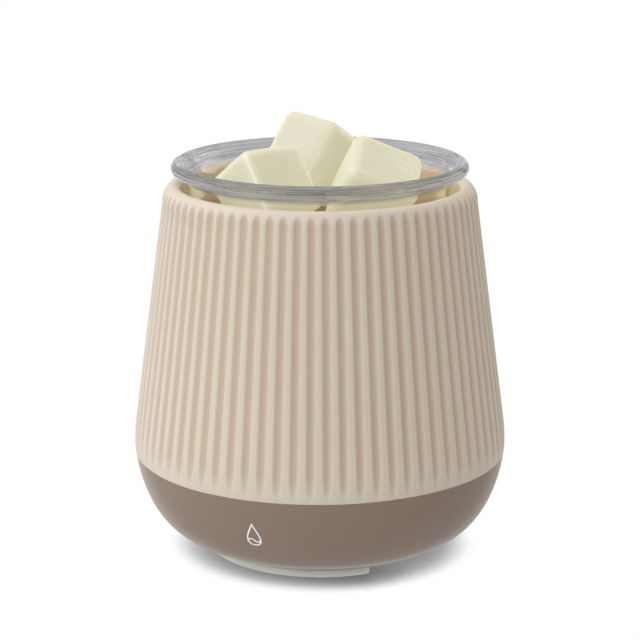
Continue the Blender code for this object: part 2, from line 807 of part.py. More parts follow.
def pot_cord_points():
    """From the saddle in the pot, out through the wall, round the floor turn, to the switch."""
    inside = [
        (0, BLOCK_Y + BLOCK_SIZE[1] / 2 + 2, CORD_INSIDE_Z),
        (0, SADDLE_Y, CORD_INSIDE_Z),
        (0, SADDLE_Y + 6, CORD_INSIDE_Z + 1),
        (0, 32.5, 17.5),
        (0, 37.5, 24.0),
        along_exit(-12),
    ]
    outside = [
        along_exit(2),
        along_exit(20),
        (0, 84.0, 7.8),
        (0, 93.0, CORD_LEVEL + 0.6),
        (0, COIL_CENTRE[1], CORD_LEVEL),
    ]
    leave_angle = 240.0
    turn_radius = 28.0
    leave = math.radians(leave_angle)
    centre_x = (COIL_RADIUS - turn_radius) * math.cos(leave)
    centre_y = (COIL_RADIUS - turn_radius) * math.sin(leave)
    count = 10
    turn = []
    for step, (x, y) in enumerate(arc(centre_x, centre_y, turn_radius, leave_angle, 360, count)):
        turn.append((x, y, CORD_LEVEL + COIL_PITCH * ease(step / count)))
    end_y = SWITCH_PLACE[1] - SWITCH_SIZE[1] / 2 + SWITCH_WALL + CORD_SEAT
    turn.append((SWITCH_PLACE[0], end_y, SWITCH_SPLIT))
    return smooth_path(inside + outside, 3) + coil_points(0, leave_angle, 0) + from_coil(turn[1:])


def plug_cord_points():
    """From the switch up to the second turn, round the coil and down into the plug."""
    switch_x, switch_y = SWITCH_PLACE
    end_y = switch_y + SWITCH_SIZE[1] / 2
    turn_y = end_y + 3
    reach = COIL_RADIUS ** 2 - switch_x ** 2 - turn_y ** 2
    turn_radius = reach / (2 * (COIL_RADIUS - switch_x))
    join_angle = math.degrees(math.atan2(turn_y, switch_x - turn_radius))
    start = [(switch_x, end_y - SWITCH_WALL - CORD_SEAT, SWITCH_SPLIT)]
    turn = arc(switch_x - turn_radius, turn_y, turn_radius, 0, join_angle, 6)
    start += [(x, y, SWITCH_SPLIT) for x, y in turn[:-1]]
    top = CORD_LEVEL + 3 * COIL_PITCH
    plug_z = SWITCH_BOTTOM + PLUG_SIZE[2] / 2
    plug_x, plug_y = PLUG_PLACE
    tail_end = plug_y + PLUG_SIZE[1] / 2 + PLUG_TAIL
    way_down = [
        (0, COIL_RADIUS, top),
        (-9.0, 46.5, top - 0.3),
        (-16.0, 39.0, top - 3.6),
        (-19.5, 30.0, plug_z + 2.0),
        (plug_x, tail_end, plug_z),
        (plug_x, tail_end - PLUG_TAIL, plug_z),
    ]
    coil = coil_points(join_angle, 810.0, 1)
    descent = smooth_path(way_down, 3)
    return from_coil(start) + coil + from_coil([tuple(point) for point in descent[1:]] + [way_down[-1]])


def make_cords():
    wire("power_cord_pot", pot_cord_points(), CORD_RADIUS, CORD_RUBBER)
    wire("power_cord_plug", plug_cord_points(), CORD_RADIUS, CORD_RUBBER)


def make_cord_grommet():
    """Bush through the wall with a flange outside and a tapered sleeve along the cord."""
    barrel = GROMMET_HOLE - GAP
    profile = [
        (3.5, GROMMET_SLEEVE),
        (4.6, 3.2),
        (GROMMET_FLANGE - 0.8, 3.0),
        (GROMMET_FLANGE, 2.2),
        (GROMMET_FLANGE, 1.2),
        (barrel, 1.2),
        (barrel, -9.0),
        (BORE, -9.0),
        (BORE, GROMMET_SLEEVE),
    ]
    location, rotation = exit_frame()
    turned("cord_grommet", profile, CORD_RUBBER, 18, True, location, rotation)


def make_cord_clamp():
    """Saddle over the cord, drawn in the XZ plane and given its width along Y."""
    low = BASE_TOP + GAP - CORD_INSIDE_Z
    half = SADDLE_SCREW_X + 3.5
    thickness = 2.0
    outer = BORE + 1.6
    outline = [(half, low), (half, low + thickness), (outer, low + thickness)]
    outline += arc(0, 0, outer, 0, 180, 8)
    outline += [(-outer, low + thickness), (-half, low + thickness), (-half, low), (-BORE, low)]
    outline += arc(0, 0, BORE, 180, 0, 8) + [(BORE, low)]
    mesh = outline_mesh("cord_clamp", [outline], SADDLE_WIDTH)
    clamp = place("cord_clamp", mesh, BLOCK_PLASTIC, (0, SADDLE_Y, CORD_INSIDE_Z), (90, 0, 0))
    places = [(-SADDLE_SCREW_X, SADDLE_Y), (SADDLE_SCREW_X, SADDLE_Y)]
    drill(clamp, places, SMALL_SCREW_RADIUS + GAP, BASE_TOP, BASE_TOP + 4, 12)
    seat = BASE_TOP + GAP + thickness + GAP
    for side, position in zip(("left", "right"), places):
        make_screw("cord_clamp_screw_" + side, position, seat, BASE_BOTTOM + 1.6)


def make_cord_tie():
    """Band round the stacked turns of the coil."""
    half_width = CORD_RADIUS + 2 * GAP
    low = CORD_LEVEL - CORD_RADIUS - GAP
    high = CORD_LEVEL + 2 * COIL_PITCH + CORD_RADIUS + GAP
    hole = [(-half_width, low), (half_width, low), (half_width, high), (-half_width, high)]
    out = half_width + TIE_SHEET
    band = [
        (-out, low - TIE_SHEET),
        (out, low - TIE_SHEET),
        (out, high + TIE_SHEET),
        (-out, high + TIE_SHEET),
    ]
    angle = math.radians(TIE_ANGLE)
    x = COIL_CENTRE[0] + COIL_RADIUS * math.cos(angle)
    y = COIL_CENTRE[1] + COIL_RADIUS * math.sin(angle)
    mesh = outline_mesh("cord_tie", [band, hole], TIE_WIDTH)
    place("cord_tie", mesh, TIE_FABRIC, (x, y, 0), (90, 0, TIE_ANGLE))


# in-line switch


def switch_point(x, y):
    """Object-frame place of a point given from the middle of the switch."""
    return x + SWITCH_PLACE[0] + COIL_CENTRE[0], y + SWITCH_PLACE[1] + COIL_CENTRE[1]


def switch_box(name, size, low, high):
    """Box as a cutter or part, centred on the switch between two heights."""
    mesh = box_mesh(name, (*size, high - low))
    return mesh, (*switch_point(0, 0), (low + high) / 2)


def make_housing(name, low, high, hollow_low, hollow_high):
    mesh, centre = switch_box(name, SWITCH_SIZE, low, high)
    housing = place(name, mesh, CORD_RUBBER, centre)
    bevel = add_bevel(housing, SWITCH_ROUND, 3)
    bevel.limit_method = "WEIGHT"
    weights = mesh.attributes.new("bevel_weight_edge", "FLOAT", "EDGE")
    outer = high if hollow_low < low else low
    outer_side = math.copysign(1, outer - (low + high) / 2)
    for edge, weight in zip(mesh.edges, weights.data):
        ends = [mesh.vertices[index].co.z * outer_side for index in edge.vertices]
        weight.value = 0.0 if max(ends) < 0 else 1.0
    room = (SWITCH_SIZE[0] - 2 * SWITCH_WALL, SWITCH_SIZE[1] - 2 * SWITCH_WALL)
    mesh, centre = switch_box(name + "_hollow", room, hollow_low, hollow_high)
    cut(housing, place_cutter(name + "_hollow", mesh, centre))
    cord_way = rods_mesh(name + "_cord_way", [(0, 0)], BORE, -SWITCH_SIZE[1], SWITCH_SIZE[1])
    place_way = (*switch_point(0, 0), SWITCH_SPLIT)
    cut(housing, place_cutter(name + "_cord_way", cord_way, place_way, (90, 0, 0)))
    return housing


def make_switch_housings():
    split_low = SWITCH_SPLIT - GAP / 2
    split_high = SWITCH_SPLIT + GAP / 2
    floor = SWITCH_BOTTOM + SWITCH_WALL
    roof = SWITCH_TOP - SWITCH_WALL
    lower = make_housing("switch_housing_lower", SWITCH_BOTTOM, split_low, floor, split_low + 1)
    upper = make_housing("switch_housing_upper", split_high, SWITCH_TOP, split_high - 1, roof)
    screw_places = [switch_point(0, -SWITCH_SCREW_Y), switch_point(0, SWITCH_SCREW_Y)]
    post_low = SWITCH_SPLIT + CORD_RADIUS + 2 * GAP
    posts = rods_mesh("switch_posts", screw_places, POST_RADIUS, post_low, roof + 0.5, 12)
    join(upper, place_cutter("switch_posts", posts))
    drill(upper, screw_places, SMALL_SCREW_RADIUS + GAP, split_high, roof - 0.6, 12)
    drill(lower, screw_places, SMALL_SCREW_RADIUS + GAP, SWITCH_BOTTOM - 1, floor + 1, 12)
    seat = SWITCH_BOTTOM + SCREW_WELL
    wells = rods_mesh("switch_wells", screw_places, SWITCH_HEAD_RADIUS + 0.4, SWITCH_BOTTOM - 1, seat)
    cut(lower, place_cutter("switch_wells", wells))
    ear_x = (ROCKER_WIDTH + EAR_THICKNESS) / 2 + EAR_CLEARANCE
    for side, x in (("left", -ear_x), ("right", ear_x)):
        name = "switch_ear_" + side
        ear = box_mesh(name, (EAR_THICKNESS, EAR_LENGTH, EAR_HEIGHT))
        join(upper, place_cutter(name, ear, (*switch_point(x, 0), roof + 0.5 - EAR_HEIGHT / 2)))
    pin_reach = PIN_LENGTH / 2 + 1.5
    pin_way = rods_mesh("pin_way", [(0, 0)], PIN_RADIUS + GAP, -pin_reach, pin_reach, 12)
    pin_place = (*switch_point(0, 0), PIN_Z)
    cut(upper, place_cutter("pin_way", pin_way, pin_place, (0, 90, 0)))
    mouth_size = (ROCKER_WIDTH + 1.0, 2 * ROCKER_HALF_LENGTH + 1.8, 6.0)
    mouth = box_mesh("rocker_mouth", mouth_size)
    cut(upper, place_cutter("rocker_mouth", mouth, (*switch_point(0, 0), SWITCH_TOP)))
    for side, position in zip(("front", "rear"), screw_places):
        name = "switch_screw_" + side
        make_screw(name, position, seat, roof - 1.2, True, SWITCH_HEAD_RADIUS, SWITCH_HEAD)


def make_rocker():
    """Tipping button, drawn in the YZ plane about its pin and tilted to its off position."""
    half = ROCKER_HALF_LENGTH
    outline = [(-half, -0.4), (-half + 1.4, -2.6), (half - 1.4, -2.6), (half, -0.4)]
    outline += [(half - 0.1, 3.6), (half - 0.9, 4.2), (0, 2.9), (0.9 - half, 4.2), (0.1 - half, 3.6)]
    bore = arc(0, 0, PIN_RADIUS + GAP, 0, 330, 11)
    mesh = outline_mesh("switch_rocker", [outline, bore], ROCKER_WIDTH)
    upright = Matrix.Rotation(math.pi / 2, 4, "Z") @ Matrix.Rotation(math.pi / 2, 4, "X")
    mesh.transform(upright)
    pin_place = (*switch_point(0, 0), PIN_Z)
    place("switch_rocker", mesh, ROCKER_PLASTIC, pin_place, (-ROCKER_TILT, 0, 0))
    half_pin = PIN_LENGTH / 2
    profile = [(0, half_pin), (PIN_RADIUS, half_pin), (PIN_RADIUS, -half_pin), (0, -half_pin)]
    turned("rocker_pin", profile, STEEL, 12, location=pin_place, rotation=(0, 90, 0))


def make_switch_contact():
    """Springy brass strip that the rocker presses, bowed up in the middle."""
    half = 9.0
    sheet = 0.5
    count = 8
    upper = []
    for step in range(count + 1):
        y = -half + 2 * half * step / count
        upper.append((y, 1.6 * math.cos(math.pi * y / (2 * half)) ** 2))
    outline = upper + [(y, z - sheet) for y, z in reversed(upper)]
    mesh = outline_mesh("switch_contact", [outline], 6.0)
    contact_z = SWITCH_BOTTOM + SWITCH_WALL + GAP + 2.0
    place("switch_contact", mesh, BRASS, (*switch_point(0, 0), contact_z), (90, 0, 90))


# plug


def make_plug():
    x = PLUG_PLACE[0] + COIL_CENTRE[0]
    y = PLUG_PLACE[1] + COIL_CENTRE[1]
    z = SWITCH_BOTTOM + PLUG_SIZE[2] / 2
    half = PLUG_SIZE[1] / 2
    body = place("plug_body", box_mesh("plug_body", PLUG_SIZE), CORD_RUBBER, (x, y, z))
    add_bevel(body, PLUG_ROUND, 3)
    tail = bpy.data.meshes.new("plug_tail")
    shape = bmesh.new()
    bmesh.ops.create_cone(
        shape,
        cap_ends=True,
        segments=16,
        radius1=PLUG_TAIL_RADIUS * MM,
        radius2=PLUG_TAIL_END_RADIUS * MM,
        depth=(PLUG_TAIL + 2) * MM,
    )
    shape.to_mesh(tail)
    shape.free()
    tail_y = y + half + PLUG_TAIL / 2 - 1
    join(body, place_cutter("plug_tail", tail, (x, tail_y, z), (-90, 0, 0)))
    cord_way = rods_mesh("plug_cord_way", [(0, 0)], BORE, -2, PLUG_TAIL + 2)
    cut(body, place_cutter("plug_cord_way", cord_way, (x, y + half, z), (-90, 0, 0)))
    for name, side in (("plug_blade_left", -1), ("plug_blade_right", 1)):
        blade_x = x + side * BLADE_SPACING / 2
        slot_size = (BLADE_THICKNESS + 2 * GAP, 2 * BLADE_SEAT, BLADE_WIDTH + 2 * GAP)
        slot = box_mesh(name + "_slot", slot_size)
        cut(body, place_cutter(name + "_slot", slot, (blade_x, y - half, z)))
        make_blade(name, (blade_x, y - half, z))


def make_blade(name, face_point):
    """Flat blade that starts inside the body and points along -Y, with a hole near its tip."""
    half = BLADE_WIDTH / 2
    seat = GAP - BLADE_SEAT
    tip = BLADE_LENGTH
    corner = tip - BLADE_CHAMFER
    step = half - BLADE_CHAMFER
    outline = [(seat, -half), (corner, -half), (tip, -step), (tip, step), (corner, half), (seat, half)]
    hole = arc(tip - BLADE_HOLE_FROM_TIP, 0, BLADE_HOLE_RADIUS, 0, 330, 11)
    mesh = outline_mesh(name, [outline, hole], BLADE_THICKNESS)
    place(name, mesh, BRASS, face_point, (90, 0, -90))


clear_scene()
PARTS = make_collection("wax_warmer_pot")
CUTTERS = make_collection("cutters")

CREAM = make_material("cream_glaze", (206, 198, 183), 0.45)
GLASS = make_material("clear_glass", (235, 238, 240), 0.03, transmission=1.0)
WAX = make_material("pale_yellow_wax", (226, 222, 192), 0.5)
ALUMINIUM = make_material("aluminium", (190, 190, 190), 0.35, 1.0)
STEEL = make_material("zinc_steel", (176, 178, 180), 0.4, 1.0)
BRASS = make_material("brass", (196, 168, 96), 0.35, 1.0)
CEMENT = make_material("heater_cement", (150, 140, 126), 0.9)
MICA = make_material("mica_board", (184, 170, 140), 0.7)
SILICONE = make_material("grey_green_silicone", (165, 168, 160), 0.6)
BASE_PLASTIC = make_material("base_plastic", (150, 150, 144), 0.55)
BLOCK_PLASTIC = make_material("block_plastic", (228, 226, 218), 0.5)
LEAD_RUBBER = make_material("lead_sleeve", (160, 60, 44), 0.6)
CORD_RUBBER = make_material("cord_rubber", (232, 229, 221), 0.5)
ROCKER_PLASTIC = make_material("rocker_plastic", (120, 108, 98), 0.4)
TIE_FABRIC = make_material("tie_fabric", (96, 90, 84), 0.9)

make_ceramic_shell()
make_glass_dish()
make_wax_cubes()
make_heater_plate()
make_heater_cup()
make_heating_element()
make_element_clamp()
make_clamp_stud()
make_thermal_fuse()
make_fuse_clip()
make_base_plate()
make_foot("foot_front", -90.0)
make_foot("foot_rear", 90.0)
make_tie_rods()
make_terminal_block()
make_leads()
make_cords()
make_cord_grommet()
make_cord_clamp()
make_cord_tie()
make_switch_housings()
make_rocker()
make_switch_contact()
make_plug()
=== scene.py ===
"""Looks for the wax warmer pot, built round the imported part.

Lengths are in millimetres until the meshes are made, and MM turns them into metres. Shapes are
given from the axis of the pot, which stands POT_AXIS_Y behind the origin. +Z is up, the front faces
-Y and the cord leaves at the back.
"""

import math

import bmesh
import bpy
import numpy as np
from mathutils import Matrix, Vector, noise


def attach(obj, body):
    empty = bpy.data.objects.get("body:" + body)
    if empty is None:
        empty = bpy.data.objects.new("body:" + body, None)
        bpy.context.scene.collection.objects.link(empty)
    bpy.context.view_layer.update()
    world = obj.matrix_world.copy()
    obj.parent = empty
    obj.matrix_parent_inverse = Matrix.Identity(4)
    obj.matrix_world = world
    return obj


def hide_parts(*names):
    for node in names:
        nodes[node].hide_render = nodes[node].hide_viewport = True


MM = 0.001
GAP = 0.3
POT_AXIS_Y = 32.0

# camera and light
CAMERA_LENS = 121.4
CAMERA_SENSOR = 36.0
CAMERA_AZIMUTH = 26.0
CAMERA_PITCH = 14.406
CAMERA_DISTANCE = 693.43
CAMERA_TARGET = 74.07
SHADE_AZIMUTH = CAMERA_AZIMUTH - 125.0
SHADE_LEAN = 0.88
SHADE_RISE = 0.47
SHADE_REACH = 14.0
CONTACT_REACH = 9.0
FLOOR_SIZE = 6000.0
AMBIENT = 1.27
AMBIENT_SLOPE = 0.92
FLOOR_BOUNCE = 0.82

# dark and light cards for reflections: place from straight down (0) to straight up (1), brightness
CARD_LEVELS = (
    (0.5, 0.4), (0.53, 0.9), (0.56, 0.15), (0.6, 0.9), (0.65, 0.12), (0.7, 0.9), (0.8, 0.3), (0.88, 0.9),
)

# ceramic body
BELLY_RADIUS = 60.0
BELLY_HEIGHT = 35.0
BELLY_HANDLE = 5.0
BELLY_TURN_RADIUS = 55.0
TAPER_SLOPE = 0.1345
BODY_BOTTOM = 4.5
BODY_BOTTOM_RADIUS = 38.0
BOTTOM_HANDLE_RADIUS = 56.2
BOTTOM_HANDLE_HEIGHT = 5.1
LIP_START = 113.7
LIP_TOP = 119.0
LIP_TOP_RADIUS = 46.1
LIP_INNER_ROUND = 1.9
WALL = 5.5
BODY_OPENING_RADIUS = 34.0
BODY_FLOOR_TOP = 9.5
LEDGE_RADIUS = 38.5
LEDGE_TOP = 90.5
LEDGE_DEPTH = 4.0
LEDGE_SLOPE_BOTTOM = 82.0
FLUTE_COUNT = 74
FLUTE_RADIUS = 1.6
FLUTE_DEPTH = 0.8
FLUTE_PHASE = -1.0
FLUTE_SOFTNESS = 0.35
STEPS_PER_FLUTE = 14

# the line between the two glazes, and the mark on the lower one
GLAZE_LINE = 32.3
GLAZE_TILT = 0.004
MARK_HEIGHT = 19.4
MARK_ANGLE = 5.1
MARK_LIFT = 0.02
MARK_THICKNESS = 0.05
MARK_LINE = 0.42
MARK_SECTION = ((-1, MARK_LIFT), (-1, MARK_THICKNESS), (1, MARK_THICKNESS), (1, MARK_LIFT))
DROP_HALF_WIDTH = 3.1
DROP_HALF_HEIGHT = 4.2
DROP_RISE = 1.0
DROP_STEPS = 48
WAVE_LENGTH = 4.0
WAVE_DROP = 1.2
WAVE_SWING = 0.55
WAVE_STEPS = 16

# glass dish
RIM_RADIUS = 44.9
RIM_HEIGHT = 124.2
RIM_BEAD = 2.1
DISH_BOTTOM = 97.0
DISH_CORNER = 8.0
DISH_CORNER_RADIUS = 31.5
DISH_GLASS = 2.6
DISH_WALL_TOP = 118.0
DISH_WALL_RADIUS = 41.5
DISH_NECK = 122.0
DISH_STEPS = 256
RIM_STEPS = 120
RIM_RIDGES = 13
RIM_RIDGE_DEPTH = 0.05
NECK_IN_BEADS = 0.75

# wax cubes: centre, turn about X, Y and Z in degrees, strength of the painted crease highlight, crumbly spot
WAX_SIDE = 23.7
WAX_TAPER = 0.985
WAX_ROUND = 3.4
WAX_PLACES = {
    "left": ((-14.2, -9.8, 115.7), (0.4, -34.4, -24.2), 1.0, (1.0, 1.0, 0.4)),
    "rear": ((-10.6, 18.5, 122.1), (-33.1, 4.2, -20.9), 0.3, (0.7, -1.0, -1.0)),
    "right": ((16.9, 3.9, 117.1), (26.7, 22.6, 28.8), 0.0, (0.6, 0.3, 1.0)),
}

# heater stack and base
PLATE_RADIUS = 37.0
PLATE_TOP = 96.7
PLATE_BOTTOM = 93.7
PLATE_GROOVES = (14.0, 26.0)
CUP_TOP = 93.4
CUP_SHEET = 0.8
CUP_RADIUS = 34.0
CUP_FLANGE_RADIUS = 44.0
CUP_BOTTOM = 72.0
PAN_HOLE_RADIUS = 1.8
GASKET_INNER = 39.5
BASE_FLANGE_RADIUS = 36.4
BASE_BOTTOM = 3.3
BASE_FLANGE_TOP = 4.2
BASE_SPIGOT_RADIUS = 33.6
BASE_TOP = 7.9
BASE_RINGS = (11.0, 17.0)
ROD_CIRCLE = 23.5
ROD_ANGLES = (150.0, 30.0, 270.0)
ROD_WELL_RADIUS = 3.2
FOOT_RADIUS = 36.8
FOOT_INNER = 27.5
FOOT_HEIGHT = 3.0
FOOT_HALF_ANGLE = 51.0
FOOT_ROUND = 0.7

# cord
CORD_RADIUS = 2.4
CORD_INSIDE_Z = 11.4
CORD_LEVEL = 3.7
COIL_PITCH = 5.2
COIL_CENTRE = (-50.0, 102.5)
COIL_RADIUS = 50.0
COIL_STEP_DEGREES = 3.0
COIL_CLIMB_START = 300.0
LEAVE_ANGLE = 240.0
LEAVE_RADIUS = 28.0
COIL_END = 810.0
EXIT_RADIUS = 56.7
EXIT_HEIGHT = 20.0
EXIT_SLOPE = 20.0
GROMMET_HOLE = 5.0
GROMMET_FLANGE = 7.5
GROMMET_SLEEVE = 21.0
GROMMET_INNER_END = -9.0
GROMMET_SHOULDER = (4.6, 3.2)
GROMMET_EDGE = ((-0.8, 3.0), (-0.1, 2.6), (0, 2.2), (0, 1.2))
GROMMET_TIP_RADIUS = 3.5
GROMMET_RIBS = 6
GROMMET_RIB = ((0, 0), (-0.45, -0.5), (-0.45, -1.1), (0.05, -1.6))
GROMMET_RIB_REACH = 3.6
GROMMET_RIB_WIDENING = 0.17
GROMMET_RIB_START = 1.2
GROMMET_RIB_PITCH = 2.7
BORE = CORD_RADIUS + GAP
BLOCK_BACK = 9.0
SADDLE_Y = 21.0
CORD_RISE = ((0, 32.5, 17.5), (0, 37.5, 24.0))
EXIT_STATIONS = (-12, 2, 20)
CORD_LANDING = ((0, 84.0, 7.8), (0, 93.0, CORD_LEVEL + 0.6))
CORD_DESCENT = ((-9.0, 46.5, -0.3), (-16.0, 39.0, -3.6))
CORD_APPROACH = (-19.5, 30.0, 2.0)
LEAVE_STEPS = 40
TURN_STEPS = 24
TIE_ANGLE = 150.0
TIE_SHEET = 0.8
TIE_WIDTH = 9.0
TIE_ROUND = 1.4

# in-line switch and plug, placed from the centre of the coil
SWITCH_PLACE = (17.0, 8.0)
SWITCH_SIZE = (22.0, 50.0)
SWITCH_BOTTOM = 0.1
SWITCH_SPLIT = CORD_LEVEL + COIL_PITCH
SWITCH_TOP = 17.4
SWITCH_WALL = 1.8
SWITCH_ROUND = 3.0
SWITCH_SCREW_Y = 14.0
SWITCH_WELL_RADIUS = 2.8
CORD_SEAT = 3.0
PIN_Z = 14.0
PIN_RADIUS = 1.0
ROCKER_WIDTH = 9.0
ROCKER_HALF_LENGTH = 6.6
ROCKER_TILT = 8.0
ROCKER_BOTTOM = -2.6
ROCKER_SLANT = 1.4
ROCKER_SLANT_TOP = -0.4
ROCKER_END_TOP = 3.6
ROCKER_END_LEAN = 0.1
ROCKER_ROUND = 0.45
SADDLE_BOTTOM = 2.9
SADDLE_RISE = 1.3
SADDLE_MARGIN = 0.7
SADDLE_REACH = ROCKER_HALF_LENGTH - 0.9
SADDLE_STEPS = 12
DIMPLE_PLACE = 4.4
DIMPLE_RADIUS = 0.8
DIMPLE_FLOOR = 3.3
CUT_REACH = 8
MOUTH = (5.0, ROCKER_HALF_LENGTH + 0.9, 1.2)
MOUTH_CUT = 6.0
SINK = (6.6, ROCKER_HALF_LENGTH + 2.6, 2.4)
SINK_CUT = 1.0
SINK_LIFT = 0.1
GRIP_SIZE = (14.0, 0.8, 1.0)
GRIP_START = 16.5
GRIP_PITCH = 1.9
GRIP_COUNT = 4
PLUG_PLACE = (-20.0, -3.0)
PLUG_SIZE = (24.0, 26.0, 17.4)
PLUG_ROUND = 3.5
PLUG_TAIL = 10.0
TAIL_ROOT = 5.2
TAIL_ROOT_START = -3.0
TAIL_ROOT_END = 0.4
TAIL_TIP_RADIUS = 3.6
TAIL_RINGS = 4
TAIL_RING = ((0, 0), (-0.6, 0.3), (-0.6, 1.0), (-0.15, 1.3))
TAIL_RING_REACH = 5.0
TAIL_RING_NARROWING = 0.32
TAIL_RING_START = 1.0
TAIL_RING_PITCH = 2.1
PLUG_RIB_SIZE = (1.2, 1.0, 9.5)
PLUG_RIB_START = -5.0
PLUG_RIB_PITCH = 2.6
PLUG_RIB_COUNT = 5
BLADE_SPACING = 12.7
BLADE_WIDTH = 6.3
BLADE_THICKNESS = 1.5
BLADE_LENGTH = 16.0
BLADE_SEAT = 6.0
BLADE_CHAMFER = 1.5
BLADE_HOLE_RADIUS = 1.6
BLADE_HOLE_FROM_TIP = 4.0


# node helpers


def linear(channel):
    """Turn one 0-255 display channel into the linear value that a shader takes."""
    value = channel / 255
    if value <= 0.04045:
        return value / 12.92
    return ((value + 0.055) / 1.055) ** 2.4


def paint(*channels):
    return (*[linear(channel) for channel in channels], 1.0)


def add_node(tree, kind, inputs=None, **settings):
    """Add a shader node; an input is either a value or another node's output socket."""
    item = tree.nodes.new("ShaderNode" + kind)
    for key, value in settings.items():
        setattr(item, key, value)
    for key, value in (inputs or {}).items():
        if isinstance(value, bpy.types.NodeSocket):
            tree.links.new(value, item.inputs[key])
        else:
            item.inputs[key].default_value = value
    return item


def new_material(name):
    """A material with a Principled shader; returns material, tree and shader."""
    material = bpy.data.materials.new(name)
    material.use_nodes = True
    tree = material.node_tree
    return material, tree, tree.nodes["Principled BSDF"]


def feed(tree, shader, **inputs):
    """Set Principled inputs by name, with underscores for spaces."""
    for key, value in inputs.items():
        socket = shader.inputs[key.replace("_", " ")]
        if isinstance(value, bpy.types.NodeSocket):
            tree.links.new(value, socket)
        else:
            socket.default_value = value


def place_of(tree):
    """Position in the object's own frame, in metres."""
    return add_node(tree, "TexCoord").outputs["Object"]


def noise_of(tree, vector, scale, detail=3.0, roughness=0.5):
    inputs = {"Vector": vector, "Scale": scale, "Detail": detail, "Roughness": roughness}
    return add_node(tree, "TexNoise", inputs).outputs["Fac"]


def maths(tree, operation, first, second=0.0, third=0.0):
    item = add_node(tree, "Math", {0: first, 1: second, 2: third}, operation=operation)
    return item.outputs[0]


def times(tree, first, second):
    return maths(tree, "MULTIPLY", first, second)


def remap(tree, value, low, high, to_low=0.0, to_high=1.0):
    """Smooth step of a value from one range to another."""
    inputs = {"Value": value, "From Min": low, "From Max": high, "To Min": to_low, "To Max": to_high}
    item = add_node(tree, "MapRange", inputs, interpolation_type="SMOOTHSTEP")
    return item.outputs["Result"]


def mix(tree, amount, first, second):
    """Mix two colours."""
    item = add_node(tree, "Mix", data_type="RGBA")
    for socket, value in ((item.inputs[0], amount), (item.inputs[6], first), (item.inputs[7], second)):
        if isinstance(value, bpy.types.NodeSocket):
            tree.links.new(value, socket)
        else:
            socket.default_value = value
    return item.outputs[2]


def bump(tree, height, distance, strength=1.0):
    inputs = {"Height": height, "Distance": distance * MM, "Strength": strength}
    return add_node(tree, "Bump", inputs).outputs["Normal"]


def painted(tree, name):
    """Value kept at the points of the mesh under this name."""
    return add_node(tree, "Attribute", attribute_name=name).outputs["Fac"]


def axis_distance(tree, split):
    """Distance from the object's Z axis, from its split position."""
    ground = add_node(tree, "CombineXYZ", {0: split[0], 1: split[1]}).outputs[0]
    return add_node(tree, "VectorMath", {0: ground}, operation="LENGTH").outputs["Value"]


def mix_shaders(tree, share, first, second):
    inputs = {0: share, 1: first.outputs[0], 2: second.outputs[0]}
    return add_node(tree, "MixShader", inputs)


def edge_of(tree, low, high):
    """One along convex edges, zero on flats."""
    return remap(tree, add_node(tree, "NewGeometry").outputs["Pointiness"], low, high)


# materials


def ceramic_material():
    """Satin cream glaze, browner in the grooves, over a taupe glaze below a crisp line; the taupe has a
    painted sheen where the view grazes it, and the inside has painted warm shade.
    """
    material, tree, shader = new_material("two_glaze_ceramic")
    place = place_of(tree)
    split = add_node(tree, "SeparateXYZ", {0: place}).outputs
    groove = painted(tree, "groove")
    cloud = noise_of(tree, place, 28.0, 4.0)
    grain = noise_of(tree, place, 900.0, 5.0, 0.7)
    speck = remap(tree, noise_of(tree, place, 1500.0, 2.0), 0.62, 0.72)

    cream = mix(tree, cloud, paint(189, 180, 165), paint(193, 185, 172))
    cream = mix(tree, times(tree, groove, 0.5), cream, paint(170, 142, 114))
    cream = mix(tree, times(tree, speck, 0.12), cream, paint(140, 122, 104))
    taupe = mix(tree, cloud, paint(126, 109, 96), paint(132, 116, 104))
    taupe = mix(tree, times(tree, grain, 0.5), taupe, paint(110, 93, 82))
    taupe = mix(tree, times(tree, speck, 0.2), taupe, paint(160, 144, 130))
    # Painted sheen: the taupe glaze is mixed towards a paler colour where the view grazes the surface,
    # towards the pot's outline.
    facing = add_node(tree, "LayerWeight", {"Blend": 0.5}).outputs["Facing"]
    taupe = mix(tree, remap(tree, facing, 0.6, 1.0, 0.0, 0.5), taupe, paint(186, 178, 166))

    view_x = times(tree, split[0], math.cos(math.radians(CAMERA_AZIMUTH)))
    view_y = times(tree, split[1], math.sin(math.radians(CAMERA_AZIMUTH)))
    across = maths(tree, "ADD", view_x, view_y)
    wave = times(tree, maths(tree, "SUBTRACT", noise_of(tree, place, 35.0), 0.5), 0.5 * MM)
    line = maths(tree, "MULTIPLY_ADD", across, GLAZE_TILT, GLAZE_LINE * MM)
    above = maths(tree, "SUBTRACT", split[2], maths(tree, "ADD", line, wave))
    upper = remap(tree, above, -0.12 * MM, 0.12 * MM)

    # Painted shade: the inside of the body is tan near the lip and turns to a darker warm orange deeper down,
    # standing in for the dim warm light inside the cavity.
    tan_and_painted_shade = remap(tree, split[2], 92.0 * MM, 114.0 * MM)
    tan_and_painted_shade = mix(tree, tan_and_painted_shade, paint(205, 158, 96), paint(212, 190, 160))
    inner = painted(tree, "inner")
    colour = mix(tree, inner, mix(tree, upper, taupe, cream), tan_and_painted_shade)
    roughness = maths(tree, "MULTIPLY_ADD", upper, 0.1, 0.4)
    roughness = maths(tree, "MULTIPLY_ADD", grain, 0.12, roughness)
    height = maths(tree, "MULTIPLY_ADD", upper, 1.6, grain)
    feed(tree, shader, Base_Color=colour, Roughness=roughness, IOR=1.5)
    feed(tree, shader, Specular_IOR_Level=0.35, Normal=bump(tree, height, 0.05, 0.5))
    return material


def mark_material():
    material, tree, shader = new_material("mark_enamel")
    shade = noise_of(tree, place_of(tree), 700.0)
    colour = mix(tree, shade, paint(226, 226, 230), paint(240, 240, 242))
    feed(tree, shader, Base_Color=colour, Roughness=0.4)
    return material


